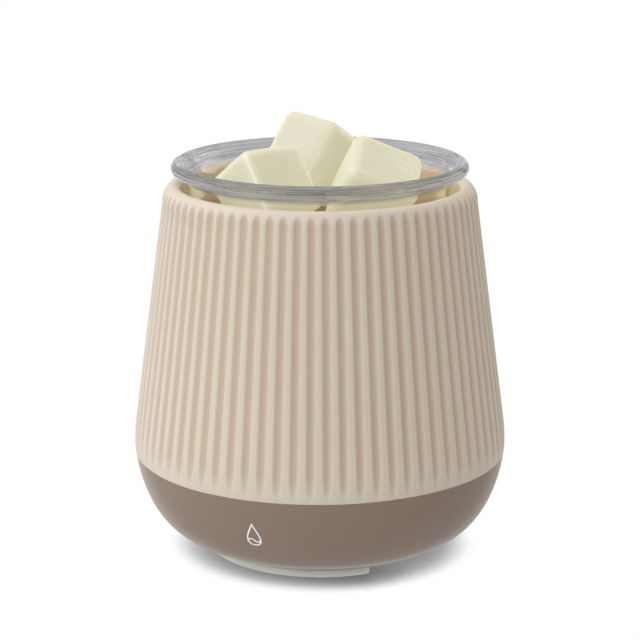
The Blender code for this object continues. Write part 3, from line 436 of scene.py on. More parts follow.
def glass_material():
    """Clear pressed glass; light for what lies behind it passes straight through."""
    material, tree, shader = new_material("clear_pressed_glass")
    place = place_of(tree)
    split = add_node(tree, "SeparateXYZ", {0: place}).outputs
    reach = axis_distance(tree, split)
    turn = times(tree, maths(tree, "ARCTAN2", split[1], split[0]), 0.6 * MM)
    along = add_node(tree, "CombineXYZ", {0: reach, 1: turn, 2: split[2]}).outputs[0]
    streak = noise_of(tree, along, 1700.0, 2.0, 0.6)
    ripple = noise_of(tree, place, 60.0, 2.0)
    rim = remap(tree, split[2], 119.5 * MM, 121.5 * MM)
    tint = mix(tree, rim, paint(253, 253, 252), paint(212, 214, 219))
    height = maths(tree, "ADD", ripple, times(tree, streak, rim))
    feed(tree, shader, Base_Color=tint, Roughness=0.02, IOR=1.5)
    feed(tree, shader, Transmission_Weight=1.0, Normal=bump(tree, height, 0.07, 0.6))
    # Painted reflection: grey diffuse streaks on the rim bead stand in for the dark studio reflections seen
    # in the glass.
    haze_and_painted_reflection = add_node(tree, "BsdfDiffuse", {"Color": paint(138, 139, 145)})
    share = times(tree, remap(tree, streak, 0.46, 0.57, 0.04, 0.34), rim)
    glass = mix_shaders(tree, share, shader, haze_and_painted_reflection)
    path = add_node(tree, "LightPath").outputs
    bounced = maths(tree, "GREATER_THAN", path["Diffuse Depth"], 0.5)
    trapped = maths(tree, "GREATER_THAN", path["Glossy Depth"], 1.5)
    lighting = maths(tree, "MAXIMUM", path["Is Shadow Ray"], maths(tree, "MAXIMUM", bounced, trapped))
    clear = add_node(tree, "BsdfTransparent", {"Color": (1, 1, 1, 1)})
    both = mix_shaders(tree, lighting, glass, clear)
    tree.links.new(both.outputs[0], tree.nodes["Material Output"].inputs["Surface"])
    return material


def wax_material():
    """Translucent pale yellow wax that also glows with painted light of its own, with a painted highlight
    along one edge and frosted crumbly patches.
    """
    material, tree, shader = new_material("pale_yellow_wax")
    place = place_of(tree)
    cloud = noise_of(tree, place, 90.0, 4.0)
    crease_highlight = painted(tree, "crease_highlight")
    crumbled = painted(tree, "crumbled")
    crumb = noise_of(tree, place, 700.0, 4.0, 0.7)
    colour = mix(tree, cloud, (0.2, 0.21, 0.21, 1), (0.22, 0.23, 0.25, 1))
    flake = times(tree, remap(tree, crumb, 0.45, 0.6), times(tree, crumbled, 0.35))
    # Painted light: the wax glows of its own through emission, standing in for light that passes through it;
    # the glow is lighter on the painted crease highlight and on the crumbly patches.
    painted_glow = mix(tree, cloud, (0.43, 0.395, 0.22, 1), (0.46, 0.43, 0.27, 1))
    painted_glow = mix(tree, maths(tree, "MAXIMUM", crease_highlight, flake), painted_glow, (0.6, 0.58, 0.46, 1))
    roughness = maths(tree, "MULTIPLY_ADD", crumbled, 0.2, 0.38)
    height = times(tree, crumb, maths(tree, "MULTIPLY_ADD", crumbled, 0.8, 0.12))
    feed(tree, shader, Base_Color=colour, Roughness=roughness, IOR=1.44)
    feed(tree, shader, Normal=bump(tree, height, 0.4, 0.7), Subsurface_Weight=1.0)
    feed(tree, shader, Subsurface_Radius=(1.0, 0.93, 0.6), Subsurface_Scale=12.0 * MM)
    feed(tree, shader, Emission_Color=painted_glow, Emission_Strength=1.0)
    return material


def moulded_material(name, colour, roughness, grain_depth=0.03, sheen=0.0):
    """Moulded plastic or rubber with a fine grain, dulled patches and paler convex edges."""
    material, tree, shader = new_material(name)
    place = place_of(tree)
    cloud = noise_of(tree, place, 55.0, 4.0)
    grain = noise_of(tree, place, 1400.0, 4.0, 0.7)
    # Lighter along convex edges, found from the mesh's pointiness.
    convex_edge = times(tree, edge_of(tree, 0.52, 0.6), 0.35)
    darker = paint(*[channel * 0.93 for channel in colour])
    lighter = paint(*[min(255, channel * 1.08) for channel in colour])
    shade = mix(tree, convex_edge, mix(tree, cloud, darker, paint(*colour)), lighter)
    rough = maths(tree, "MULTIPLY_ADD", cloud, 0.15, roughness - 0.07)
    feed(tree, shader, Base_Color=shade, Roughness=rough, Sheen_Weight=sheen)
    feed(tree, shader, Normal=bump(tree, grain, grain_depth, 0.6))
    return material


def metal_material(name, colour, roughness, streak_scale, turned=False):
    """Metal with fine drawn or turned streaks and a little handling haze."""
    material, tree, shader = new_material(name)
    place = place_of(tree)
    if turned:
        split = add_node(tree, "SeparateXYZ", {0: place}).outputs
        inputs = {"W": axis_distance(tree, split), "Scale": streak_scale, "Detail": 4.0}
        streak = add_node(tree, "TexNoise", inputs, noise_dimensions="1D").outputs["Fac"]
    else:
        stretched = add_node(tree, "Mapping", {0: place, "Scale": (1.0, 1.0, 14.0)})
        streak = noise_of(tree, stretched.outputs[0], streak_scale, 4.0, 0.6)
    haze_and_painted_reflection = noise_of(tree, place, 120.0, 3.0)
    shade = mix(tree, haze_and_painted_reflection, paint(*[channel * 0.86 for channel in colour]), paint(*colour))
    rough = maths(tree, "MULTIPLY_ADD", haze_and_painted_reflection, 0.18, roughness - 0.08)
    feed(tree, shader, Base_Color=shade, Roughness=rough, Metallic=1.0)
    feed(tree, shader, Normal=bump(tree, streak, 0.04, 0.7))
    return material


def woven_material():
    """Coarse woven band."""
    material, tree, shader = new_material("tie_weave")
    inputs = {"Vector": place_of(tree), "Scale": 420.0, "Distortion": 0.4}
    warp = add_node(tree, "TexWave", inputs, bands_direction="Z").outputs["Fac"]
    weft = add_node(tree, "TexWave", inputs, bands_direction="DIAGONAL").outputs["Fac"]
    weave = maths(tree, "MAXIMUM", warp, weft)
    shade = mix(tree, weave, paint(70, 65, 60), paint(112, 105, 98))
    feed(tree, shader, Base_Color=shade, Roughness=0.9, Normal=bump(tree, weave, 0.2, 0.8))
    feed(tree, shader, Sheen_Weight=0.4)
    return material


def board_material(name, dark, light, scale):
    """Mineral board or cement: matt, with flakes and pits."""
    material, tree, shader = new_material(name)
    place = place_of(tree)
    inputs = {"Vector": place, "Scale": scale}
    flake = add_node(tree, "TexVoronoi", inputs).outputs["Distance"]
    pit = noise_of(tree, place, scale * 2, 5.0, 0.7)
    shade = mix(tree, times(tree, flake, pit), paint(*dark), paint(*light))
    feed(tree, shader, Base_Color=shade, Roughness=0.88, Normal=bump(tree, pit, 0.12, 0.7))
    return material


def floor_material():
    """White floor that glows evenly, with a soft shade only where the pot stands close to it."""
    material, tree, shader = new_material("white_floor")
    lean = view_vector(SHADE_AZIMUTH, 0.0) * SHADE_LEAN + Vector((0, 0, SHADE_RISE))
    way = add_node(tree, "CombineXYZ", {0: lean.x, 1: lean.y, 2: lean.z}).outputs[0]
    inputs = {"Distance": SHADE_REACH * MM, "Normal": way}
    near = add_node(tree, "AmbientOcclusion", inputs, samples=16).outputs["AO"]
    inputs = {"Distance": CONTACT_REACH * MM}
    touching = add_node(tree, "AmbientOcclusion", inputs, samples=16).outputs["AO"]
    shade = noise_of(tree, place_of(tree), 3.0)
    touching = remap(tree, touching, 0.1, 0.8, 0.2, 1.0)
    near = times(tree, remap(tree, near, 0.2, 0.55), touching)
    light = mix(tree, near, paint(96, 96, 95), paint(255, 255, 255))
    light = mix(tree, times(tree, shade, 0.01), light, paint(246, 246, 246))
    path = add_node(tree, "LightPath").outputs
    even = add_node(tree, "Emission", {"Color": (1, 1, 1, 1), "Strength": FLOOR_BOUNCE})
    seen = add_node(tree, "Emission", {"Color": light, "Strength": 1.0})
    both = mix_shaders(tree, path["Is Camera Ray"], even, seen)
    tree.links.new(both.outputs[0], tree.nodes["Material Output"].inputs["Surface"])
    tree.nodes.remove(shader)
    return material


# mesh helpers


def finish_object(name, mesh, material, smooth_angle=35.0):
    """Turn a mesh given from the pot's axis into a finished object in the row frame."""
    shape = bmesh.new()
    shape.from_mesh(mesh)
    bmesh.ops.recalc_face_normals(shape, faces=shape.faces)
    shape.to_mesh(mesh)
    shape.free()
    mesh.name = name
    mesh.shade_smooth()
    mesh.set_sharp_from_angle(angle=math.radians(smooth_angle))
    mesh.materials.clear()
    mesh.materials.append(material)
    item = bpy.data.objects.new(name, mesh)
    item.location = (0, POT_AXIS_Y * MM, 0)
    bpy.context.scene.collection.objects.link(item)
    return item


def make_object(name, verts, faces, material, smooth_angle=35.0):
    """Finished object from points in millimetres."""
    mesh = bpy.data.meshes.new(name)
    mesh.from_pydata((np.asarray(verts, float) * MM).tolist(), [], faces)
    return finish_object(name, mesh, material, smooth_angle)


def put_on(item, body, *nodes):
    """The piece rides on a CAD body in place of these CAD nodes."""
    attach(item, body)
    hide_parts(*nodes)


def arc(centre_x, centre_y, radius, start, end, count):
    """Points on an arc; the angles are in degrees and both ends are included."""
    angles = [math.radians(start + (end - start) * step / count) for step in range(count + 1)]
    return [(centre_x + radius * math.cos(a), centre_y + radius * math.sin(a)) for a in angles]


def turned_mesh(profile, steps, closed=False):
    """Turn (radius, height) pairs about Z. Points on the axis become poles."""
    verts = []
    rows = []
    turns = [2 * math.pi * step / steps for step in range(steps)]
    for radius, height in profile:
        first = len(verts)
        if radius == 0:
            verts.append((0, 0, height * MM))
            rows.append([first] * steps)
        else:
            reach = radius * MM
            verts += [(reach * math.cos(a), reach * math.sin(a), height * MM) for a in turns]
            rows.append(list(range(first, first + steps)))
    if closed:
        rows.append(rows[0])
    faces = []
    for low, high in zip(rows, rows[1:]):
        for step in range(steps):
            after = (step + 1) % steps
            face = list(dict.fromkeys([low[step], low[after], high[after], high[step]]))
            if len(face) > 2:
                faces.append(face)
    mesh = bpy.data.meshes.new("shape")
    mesh.from_pydata(verts, [], faces)
    return mesh


def rounded(profile, width, count=3):
    """Replace the inner corners of an open profile by small arcs."""
    result = [profile[0]]
    for before, corner, after in zip(profile, profile[1:], profile[2:]):
        before, corner, after = Vector(before), Vector(corner), Vector(after)
        reach = min(width, (before - corner).length * 0.45, (after - corner).length * 0.45)
        start = corner + (before - corner).normalized() * reach
        end = corner + (after - corner).normalized() * reach
        for step in range(count + 1):
            t = step / count
            point = start * (1 - t) ** 2 + corner * 2 * t * (1 - t) + end * t ** 2
            result.append((point.x, point.y))
    return result + [profile[-1]]


def box_mesh(size):
    mesh = bpy.data.meshes.new("shape")
    shape = bmesh.new()
    bmesh.ops.create_cube(shape, size=1.0)
    bmesh.ops.scale(shape, vec=Vector(size) * MM, verts=shape.verts)
    shape.to_mesh(mesh)
    shape.free()
    return mesh


def rods_mesh(places, radius, low, high, segments=32):
    """Upright cylinders of one size standing at several (x, y) places, in one mesh."""
    mesh = bpy.data.meshes.new("shape")
    shape = bmesh.new()
    for x, y in places:
        spot = Matrix.Translation(Vector((x, y, (low + high) / 2)) * MM)
        bmesh.ops.create_cone(shape, cap_ends=True, segments=segments, radius1=radius * MM,
                              radius2=radius * MM, depth=(high - low) * MM, matrix=spot)
    shape.to_mesh(mesh)
    shape.free()
    return mesh


def band_faces(rows, ring, first=0, closed=False):
    """Quads between neighbouring rings of points; closed joins the last ring to the first."""
    faces = []
    for row in range(rows if closed else rows - 1):
        here = first + row * ring
        there = first + (row + 1) % rows * ring
        for step in range(ring):
            after = (step + 1) % ring
            faces.append([here + step, here + after, there + after, there + step])
    return faces


def outline_mesh(outline, thickness):
    """Extrude one closed outline of (x, y) pairs evenly about its plane."""
    mesh = bpy.data.meshes.new("shape")
    shape = bmesh.new()
    half = thickness / 2
    low = [shape.verts.new(Vector((x, y, -half)) * MM) for x, y in outline]
    high = [shape.verts.new(Vector((x, y, half)) * MM) for x, y in outline]
    shape.faces.new(low[::-1])
    shape.faces.new(high)
    for index in range(len(outline)):
        after = (index + 1) % len(outline)
        shape.faces.new((low[index], low[after], high[after], high[index]))
    bmesh.ops.recalc_face_normals(shape, faces=shape.faces)
    shape.to_mesh(mesh)
    shape.free()
    return mesh


def working(mesh, location=(0, 0, 0), rotation=(0, 0, 0)):
    """Temporary object used while a shape is cut; millimetres from the pot's axis, degrees."""
    item = bpy.data.objects.new("working", mesh)
    item.location = Vector(location) * MM
    item.rotation_euler = [math.radians(angle) for angle in rotation]
    bpy.context.scene.collection.objects.link(item)
    return item


def add_bevel(item, width, segments, angle=40.0):
    bevel = item.modifiers.new("round", "BEVEL")
    bevel.width = width * MM
    bevel.segments = segments
    bevel.limit_method = "ANGLE"
    bevel.angle_limit = math.radians(angle)
    bevel.harden_normals = False
    return bevel


def combine(item, cutter, operation="DIFFERENCE"):
    boolean = item.modifiers.new("combine", "BOOLEAN")
    boolean.operation = operation
    boolean.object = cutter


def carve(item, mesh, location=(0, 0, 0), rotation=(0, 0, 0)):
    """Take a mesh, placed as a working object is, away from the item."""
    combine(item, working(mesh, location, rotation))


def bake(name, item, material, smooth_angle=35.0):
    """Apply the modifiers of a working object and drop it and its cutters."""
    bpy.context.view_layer.update()
    evaluated = item.evaluated_get(bpy.context.evaluated_depsgraph_get())
    mesh = bpy.data.meshes.new_from_object(evaluated)
    mesh.transform(item.matrix_world)
    cutters = [modifier.object for modifier in item.modifiers if modifier.type == "BOOLEAN"]
    for used in cutters + [item]:
        bpy.data.objects.remove(used, do_unlink=True)
    return finish_object(name, mesh, material, smooth_angle)


# ceramic body


def cone_radius(height):
    """Radius of the straight taper, carried on past both of its ends."""
    turn_end = BELLY_HEIGHT + TAPER_SLOPE * BELLY_TURN_RADIUS
    turn_radius = BELLY_RADIUS - TAPER_SLOPE ** 2 * BELLY_TURN_RADIUS / 2
    return turn_radius - TAPER_SLOPE * (height - turn_end)


def body_bottom_curve(count):
    """Bezier curve from the belly down to the edge of the flat bottom."""
    handles = np.array([
        (BELLY_RADIUS, BELLY_HEIGHT),
        (BELLY_RADIUS, BELLY_HEIGHT - BELLY_HANDLE),
        (BOTTOM_HANDLE_RADIUS, BOTTOM_HANDLE_HEIGHT),
        (BODY_BOTTOM_RADIUS, BODY_BOTTOM),
    ])
    t = np.linspace(0, 1, count + 1)[:, None]
    u = 1 - t
    curve = u ** 3 * handles[0] + 3 * u * u * t * handles[1]
    curve += 3 * u * t * t * handles[2] + t ** 3 * handles[3]
    return [tuple(point) for point in curve]


def outside_rows():
    """Outside of the ceramic from the middle of the lip down to the flat bottom."""
    lip_radius = cone_radius(LIP_START)
    rows = []
    for step in range(25):
        angle = math.radians(90 - 90 * step / 24)
        radius = LIP_TOP_RADIUS + (lip_radius - LIP_TOP_RADIUS) * math.cos(angle)
        rows.append((radius, LIP_START + (LIP_TOP - LIP_START) * math.sin(angle)))
    turn_top = BELLY_HEIGHT + TAPER_SLOPE * BELLY_TURN_RADIUS
    for step in range(1, 17):
        height = LIP_START + (turn_top - LIP_START) * step / 16
        rows.append((cone_radius(height), height))
    for step in range(1, 12):
        height = turn_top + (BELLY_HEIGHT - turn_top) * step / 12
        drop = (height - BELLY_HEIGHT) ** 2 / (2 * BELLY_TURN_RADIUS)
        rows.append((BELLY_RADIUS - drop, height))
    return rows + body_bottom_curve(44)


def inside_rows():
    """Inside of the ceramic from the base opening up to the middle of the lip."""
    inner_top = LIP_TOP_RADIUS - LIP_INNER_ROUND
    rows = [(BODY_OPENING_RADIUS, BODY_BOTTOM), (BODY_OPENING_RADIUS, BODY_FLOOR_TOP)]
    floor = body_bottom_curve(12)[1:-3]
    rows += [(radius - WALL, height + WALL * 0.8) for radius, height in reversed(floor)]
    rows += [
        (cone_radius(LEDGE_SLOPE_BOTTOM) - WALL, LEDGE_SLOPE_BOTTOM),
        (LEDGE_RADIUS, LEDGE_TOP - LEDGE_DEPTH),
        (LEDGE_RADIUS, LEDGE_TOP),
        (cone_radius(LEDGE_TOP) - WALL, LEDGE_TOP),
    ]
    lip = arc(inner_top + LIP_INNER_ROUND, LIP_TOP - LIP_INNER_ROUND, LIP_INNER_ROUND, 180, 90, 8)
    return rows + lip[:-1]


def groove_surface(angles, radius, height):
    """Radius of the groove surface at each angle, rising steeply between the grooves."""
    pitch = 2 * math.pi / FLUTE_COUNT
    phase = math.radians(-90 + FLUTE_PHASE)
    off = (angles - phase + pitch / 2) % pitch - pitch / 2
    axis = cone_radius(height) + FLUTE_RADIUS - FLUTE_DEPTH
    side = radius * np.sin(off)
    reach = np.sqrt(np.clip(FLUTE_RADIUS ** 2 - side ** 2, 0, None))
    beyond = np.clip(np.abs(side) - FLUTE_RADIUS, 0, None)
    return (axis - reach + beyond * 3) / np.cos(off)


def soft_minimum(first, second, softness):
    share = np.clip(0.5 + 0.5 * (second - first) / softness, 0, 1)
    return second * (1 - share) + first * share - softness * share * (1 - share)


def keep_values(mesh, name, values):
    """Keep one number for each point of the mesh, for its material."""
    kept = mesh.attributes.new(name, "FLOAT", "POINT")
    kept.data.foreach_set("value", values.astype(np.float32))


def make_ceramic(material):
    """Fine mesh of the fluted body, with the depth of the groove kept for the glaze colour."""
    steps = FLUTE_COUNT * STEPS_PER_FLUTE
    angles = np.arange(steps) * 2 * math.pi / steps + math.radians(-90 + FLUTE_PHASE)
    points = []
    depths = []
    outer_rows = outside_rows()
    inner_rows = inside_rows()
    for radius, height in outer_rows:
        groove = groove_surface(angles, radius, height)
        cut = soft_minimum(np.full(steps, radius), groove, FLUTE_SOFTNESS)
        cut = np.where(groove > radius + 2 * FLUTE_SOFTNESS, radius, cut)
        depths.append(np.clip((radius - cut) / FLUTE_DEPTH, 0, 1))
        wobble = 0.12 * np.cos(2 * angles + 1.3) + 0.06 * np.cos(5 * angles + height * 0.02)
        cut = cut + wobble * (0.3 if height > LIP_START or height < 8 else 1.0)
        points.append(np.stack([cut * np.cos(angles), cut * np.sin(angles), np.full(steps, height)], 1))
    for radius, height in inner_rows:
        depths.append(np.zeros(steps))
        ring = [radius * np.cos(angles), radius * np.sin(angles), np.full(steps, height)]
        points.append(np.stack(ring, 1))
    index = np.arange(len(points) * steps).reshape(len(points), steps)
    below = np.roll(index, -1, axis=0)
    corners = [index, below, np.roll(below, -1, axis=1), np.roll(index, -1, axis=1)]
    faces = np.stack(corners, -1).reshape(-1, 4).tolist()
    mesh = bpy.data.meshes.new("pot_ceramic")
    mesh.from_pydata((np.concatenate(points) * MM).tolist(), [], faces)
    keep_values(mesh, "groove", np.concatenate(depths))
    inner = [0.0] * len(outer_rows) + [float(height < LIP_TOP - 1) for _, height in inner_rows]
    keep_values(mesh, "inner", np.repeat(inner, steps))
    body = working(mesh)
    hole = rods_mesh([(0, 0)], GROMMET_HOLE, -12, 6)
    carve(body, hole, *exit_frame())
    return bake("pot_ceramic", body, material, 60.0)


def band_point(across, up):
    """Place on the lower glaze, in millimetres from the middle of the mark."""
    curve = body_bottom_curve(200)
    lengths = [0.0]
    for (r0, z0), (r1, z1) in zip(curve, curve[1:]):
        lengths.append(lengths[-1] + math.hypot(r1 - r0, z1 - z0))
    middle = np.interp(-MARK_HEIGHT, [-z for _, z in curve], lengths)
    radius = np.interp(middle - up, lengths, [r for r, _ in curve])
    height = np.interp(middle - up, lengths, [z for _, z in curve])
    after = np.interp(middle - up + 0.2, lengths, [r for r, _ in curve]) - radius
    slope = np.interp(middle - up + 0.2, lengths, [z for _, z in curve]) - height
    size = math.hypot(after, slope)
    angle = math.radians(-90 + MARK_ANGLE) + across / radius
    out = (-slope / size, after / size)
    return radius, height, angle, out


def mark_strokes():
    """A drop with a wave inside it: strokes as lists of (across, up) in millimetres."""
    drop = []
    for step in range(DROP_STEPS + 1):
        turn = 2 * math.pi * step / DROP_STEPS
        pinch = math.sin(turn / 2) ** 1.6
        across = DROP_HALF_WIDTH * math.sin(turn) * pinch
        drop.append((across, DROP_RISE + DROP_HALF_HEIGHT * math.cos(turn)))
    wave = []
    for step in range(WAVE_STEPS + 1):
        across = -WAVE_LENGTH / 2 + WAVE_LENGTH * step / WAVE_STEPS
        wave.append((across, -WAVE_DROP + WAVE_SWING * math.sin(2 * math.pi * step / WAVE_STEPS)))
    return [drop, wave]


def make_mark(material):
    """Raised enamel line laid on the curve of the pot."""
    verts = []
    faces = []
    for stroke in mark_strokes():
        closed = math.dist(stroke[0], stroke[-1]) < 0.01
        path = stroke[:-1] if closed else stroke
        count = len(path)
        first = len(verts)
        for index, (x, y) in enumerate(path):
            back = path[(index - 1) % count] if closed or index else path[0]
            ahead = path[(index + 1) % count] if closed or index < count - 1 else path[-1]
            way = Vector((ahead[0] - back[0], ahead[1] - back[1])).normalized()
            side = Vector((-way.y, way.x)) * MARK_LINE / 2
            for offset, lift in MARK_SECTION:
                radius, height, angle, out = band_point(x + side.x * offset, y + side.y * offset)
                reach = radius + out[0] * lift
                verts.append((reach * math.cos(angle), reach * math.sin(angle), height + out[1] * lift))
        faces += band_faces(count, 4, first, closed)
        if not closed:
            faces.append([first, first + 1, first + 2, first + 3])
            last = first + 4 * (count - 1)
            faces.append([last + 3, last + 2, last + 1, last])
    return make_object("front_mark", verts, faces, material)


# glass dish


def make_dish(material):
    """Turned bowl with a rolled rim that carries faint forming ridges."""
    corner_z = DISH_BOTTOM + DISH_CORNER
    neck = RIM_RADIUS - RIM_BEAD * NECK_IN_BEADS
    outside = []
    for radius, height in arc(0, 0, RIM_BEAD, 180, -120, RIM_STEPS):
        turn = math.atan2(height, radius)
        ridge = 1 - RIM_RIDGE_DEPTH * (1 + math.cos(RIM_RIDGES * turn)) / 2
        outside.append((RIM_RADIUS + radius * ridge, RIM_HEIGHT + height * ridge))
    outside += [(neck - 0.9, DISH_NECK - 1.2), (DISH_WALL_RADIUS + 0.3, DISH_WALL_TOP + 1)]
    outside += [(DISH_WALL_RADIUS, DISH_WALL_TOP)]
    outside += arc(DISH_CORNER_RADIUS, corner_z, DISH_CORNER, 0, -90, 14)
    inside = arc(DISH_CORNER_RADIUS, corner_z, DISH_CORNER - DISH_GLASS, -90, 0, 12)
    inside += [(DISH_WALL_RADIUS - DISH_GLASS, DISH_WALL_TOP)]
    inside += [(neck - DISH_GLASS, DISH_NECK)]
    profile = [(0, DISH_BOTTOM + DISH_GLASS)] + inside + outside + [(0, DISH_BOTTOM)]
    return finish_object("dish_glass", turned_mesh(profile, DISH_STEPS), material, 60.0)


# wax


def lattice_box(count):
    """Surface points of a cube from -1 to 1 as an even lattice, and its faces."""
    numbers = {}
    verts = []
    faces = []

    def vertex(key):
        if key not in numbers:
            numbers[key] = len(verts)
            verts.append([2 * value / count - 1 for value in key])
        return numbers[key]

    for axis in range(3):
        first, second = (axis + 1) % 3, (axis + 2) % 3
        for level in (0, count):
            for i in range(count):
                for j in range(count):
                    face = []
                    for a, b in ((i, j), (i + 1, j), (i + 1, j + 1), (i, j + 1)):
                        key = [0, 0, 0]
                        key[axis], key[first], key[second] = level, a, b
                        face.append(vertex(tuple(key)))
                    faces.append(face)
    return np.array(verts), faces


def make_wax_cube(name, location, rotation, crease_highlight, crumbs, seed, material):
    """A cast cube: tapered, round-edged and slightly slumped, with a shallow dished top."""
    verts, faces = lattice_box(48)
    half = WAX_SIDE / 2
    flat = half - WAX_ROUND
    spread = np.sign(verts) * np.abs(verts) ** 0.85 * half
    core = np.clip(spread, -flat, flat)
    away = spread - core
    normal = away / np.maximum(np.linalg.norm(away, axis=1, keepdims=True), 1e-6)
    points = core + normal * WAX_ROUND
    points[:, :2] *= 1 + (WAX_TAPER - 1) * (points[:, 2:] / half + 1) / 2
    shift = Vector((seed * 3.7, seed * 1.9, seed * 5.3))
    for index, point in enumerate(points):
        place = Vector(point)
        low = noise.noise(place * 0.09 + shift)
        fine = noise.noise(place * 0.5 + shift)
        points[index] = point + normal[index] * (-0.1 + 0.2 * low + 0.05 * fine)
    dished = np.clip(1 - (np.abs(points[:, :2]).max(1) / flat) ** 4, 0, 1)
    points[:, 2] -= np.where(points[:, 2] > flat, dished * 0.3, 0)
    # Painted highlight: a thin bright line along one upright edge, kept for the wax material's glow.
    line = np.exp(-((points[:, 0] + points[:, 1]) / 0.8) ** 2)
    line *= points[:, 0] - points[:, 1] > 2 * flat + WAX_ROUND
    line *= crease_highlight * np.clip((points[:, 2] + half) / 6, 0, 1) * np.clip((half - points[:, 2]) / 3, 0, 1)
    away_from_crumbs = np.linalg.norm(points - np.array(crumbs) * half, axis=1)
    mesh = bpy.data.meshes.new(name)
    mesh.from_pydata((points * MM).tolist(), [], faces)
    keep_values(mesh, "crease_highlight", line)
    keep_values(mesh, "crumbled", np.clip(1.6 - away_from_crumbs / 6, 0, 1))
    turn = Matrix.Translation(Vector(location) * MM)
    for axis, angle in zip("ZYX", reversed(rotation)):
        turn = turn @ Matrix.Rotation(math.radians(angle), 4, axis)
    mesh.transform(turn)
    return finish_object(name, mesh, material, 80.0)


# heater parts that show when the dish is out, and the base


def make_plate(material):
    """Turned hot plate with two shallow grooves."""
    profile = [(0, PLATE_TOP)]
    for radius in PLATE_GROOVES:
        profile += [(radius - 0.7, PLATE_TOP), (radius, PLATE_TOP - 0.35), (radius + 0.7, PLATE_TOP)]
    profile += [(PLATE_RADIUS, PLATE_TOP), (PLATE_RADIUS, PLATE_BOTTOM), (0, PLATE_BOTTOM)]
    mesh = turned_mesh(rounded(profile, 0.7), 128)
    return finish_object("hot_plate", mesh, material, 50.0)


def make_pan(material):
    floor = CUP_BOTTOM + CUP_SHEET
    profile = [
        (0, floor),
        (CUP_RADIUS - CUP_SHEET, floor),
        (CUP_RADIUS - CUP_SHEET, CUP_TOP),
        (CUP_FLANGE_RADIUS, CUP_TOP),
        (CUP_FLANGE_RADIUS, CUP_TOP - CUP_SHEET),
        (CUP_RADIUS, CUP_TOP - CUP_SHEET),
        (CUP_RADIUS, CUP_BOTTOM),
        (0, CUP_BOTTOM),
    ]
    pan = working(turned_mesh(rounded(profile, 0.3), 128))
    holes = rods_mesh(rod_places() + [(0, 0)], PAN_HOLE_RADIUS, CUP_BOTTOM - 1, floor + 1)
    carve(pan, holes)
    return bake("heater_pan", pan, material)


def make_seal(material):
    top = CUP_TOP - CUP_SHEET - GAP
    low = LEDGE_TOP + GAP
    profile = [(GASKET_INNER, top), (CUP_FLANGE_RADIUS, top), (CUP_FLANGE_RADIUS, low)]
    profile += [(GASKET_INNER, low)]
    return finish_object("pan_seal", turned_mesh(profile, 96, True), material)


def rod_places():
    angles = [math.radians(angle) for angle in ROD_ANGLES]
    return [(ROD_CIRCLE * math.cos(angle), ROD_CIRCLE * math.sin(angle)) for angle in angles]


def make_base(material):
    """Base plate with rod wells cut through it and shallow moulded rings."""
    profile = [(0, BASE_BOTTOM)]
    for radius in BASE_RINGS:
        profile += [(radius - 0.5, BASE_BOTTOM), (radius, BASE_BOTTOM + 0.4), (radius + 0.5, BASE_BOTTOM)]
    profile += [
        (BASE_FLANGE_RADIUS, BASE_BOTTOM),
        (BASE_FLANGE_RADIUS, BASE_FLANGE_TOP),
        (BASE_SPIGOT_RADIUS, BASE_FLANGE_TOP),
        (BASE_SPIGOT_RADIUS, BASE_TOP),
        (0, BASE_TOP),
    ]
    plate = working(turned_mesh(rounded(profile, 0.3), 128))
    wells = rods_mesh(rod_places(), ROD_WELL_RADIUS, BASE_BOTTOM - 1, BASE_TOP + 1)
    carve(plate, wells)
    return bake("base_moulding", plate, material)


def make_foot(name, middle_angle, material):
    """Soft pad: an arc of ring with rounded edges."""
    turn_in = [(0.0, 1.0), (0.3, 0.55), (0.7, 0.2), (1.0, 0.0)]
    rows = [(share * FOOT_ROUND, back * FOOT_ROUND) for share, back in turn_in]
    rows += [(FOOT_HEIGHT - low, back) for low, back in reversed(rows)]
    start = middle_angle - FOOT_HALF_ANGLE
    end = middle_angle + FOOT_HALF_ANGLE
    steps = 60
    verts = []
    for height, back in rows:
        turn = math.degrees(back / FOOT_RADIUS)
        outer = arc(0, 0, FOOT_RADIUS - back, start + turn, end - turn, steps)
        inner = arc(0, 0, FOOT_INNER + back, end - turn, start + turn, steps)
        verts += [(x, y, height) for x, y in outer + inner]
    ring = 2 * steps + 2
    faces = band_faces(len(rows), ring)
    last = (len(rows) - 1) * ring
    for step in range(steps):
        faces.append([step, ring - 1 - step, ring - 2 - step, step + 1])
        faces.append([last + step, last + step + 1, last + ring - 2 - step, last + ring - 1 - step])
    return make_object(name, verts, faces, material, 50.0)


# cord


def ease(amount):
    """Smooth step from 0 to 1."""
    amount = min(max(amount, 0.0), 1.0)
    return amount * amount * (3 - 2 * amount)


def smooth_path(points, steps):
    """Catmull-Rom curve through the points, with the last point left out."""
    ends = [points[0]] + list(points) + [points[-1]]
    path = []
    for index in range(1, len(points)):
        before, start, end, after = (Vector(ends[index + offset]) for offset in (-1, 0, 1, 2))
        for step in range(steps):
            t = step / steps
            path.append(tuple(
                0.5 * (2 * start + (end - before) * t
                       + (2 * before - 5 * start + 4 * end - after) * t ** 2
                       + (3 * start - before - 3 * end + after) * t ** 3)
            ))
    return path


def coil_points(start, end, level):
    """Points on the coil from one angle to another; the level counts the turns already below."""
    count = round((end - start) / COIL_STEP_DEGREES)
    points = []
    for step in range(count + 1):
        angle = start + (end - start) * step / count
        climb = ease((angle % 360 - COIL_CLIMB_START) / (360 - COIL_CLIMB_START))
        height = CORD_LEVEL + COIL_PITCH * (level + math.floor(angle / 360) + climb)
        x = COIL_CENTRE[0] + COIL_RADIUS * math.cos(math.radians(angle))
        y = COIL_CENTRE[1] + COIL_RADIUS * math.sin(math.radians(angle))
        points.append((x, y, height))
    return points


def from_coil(points):
    """Move points given from the centre of the coil to the pot's axis."""
    return [(x + COIL_CENTRE[0], y + COIL_CENTRE[1], z) for x, y, z in points]


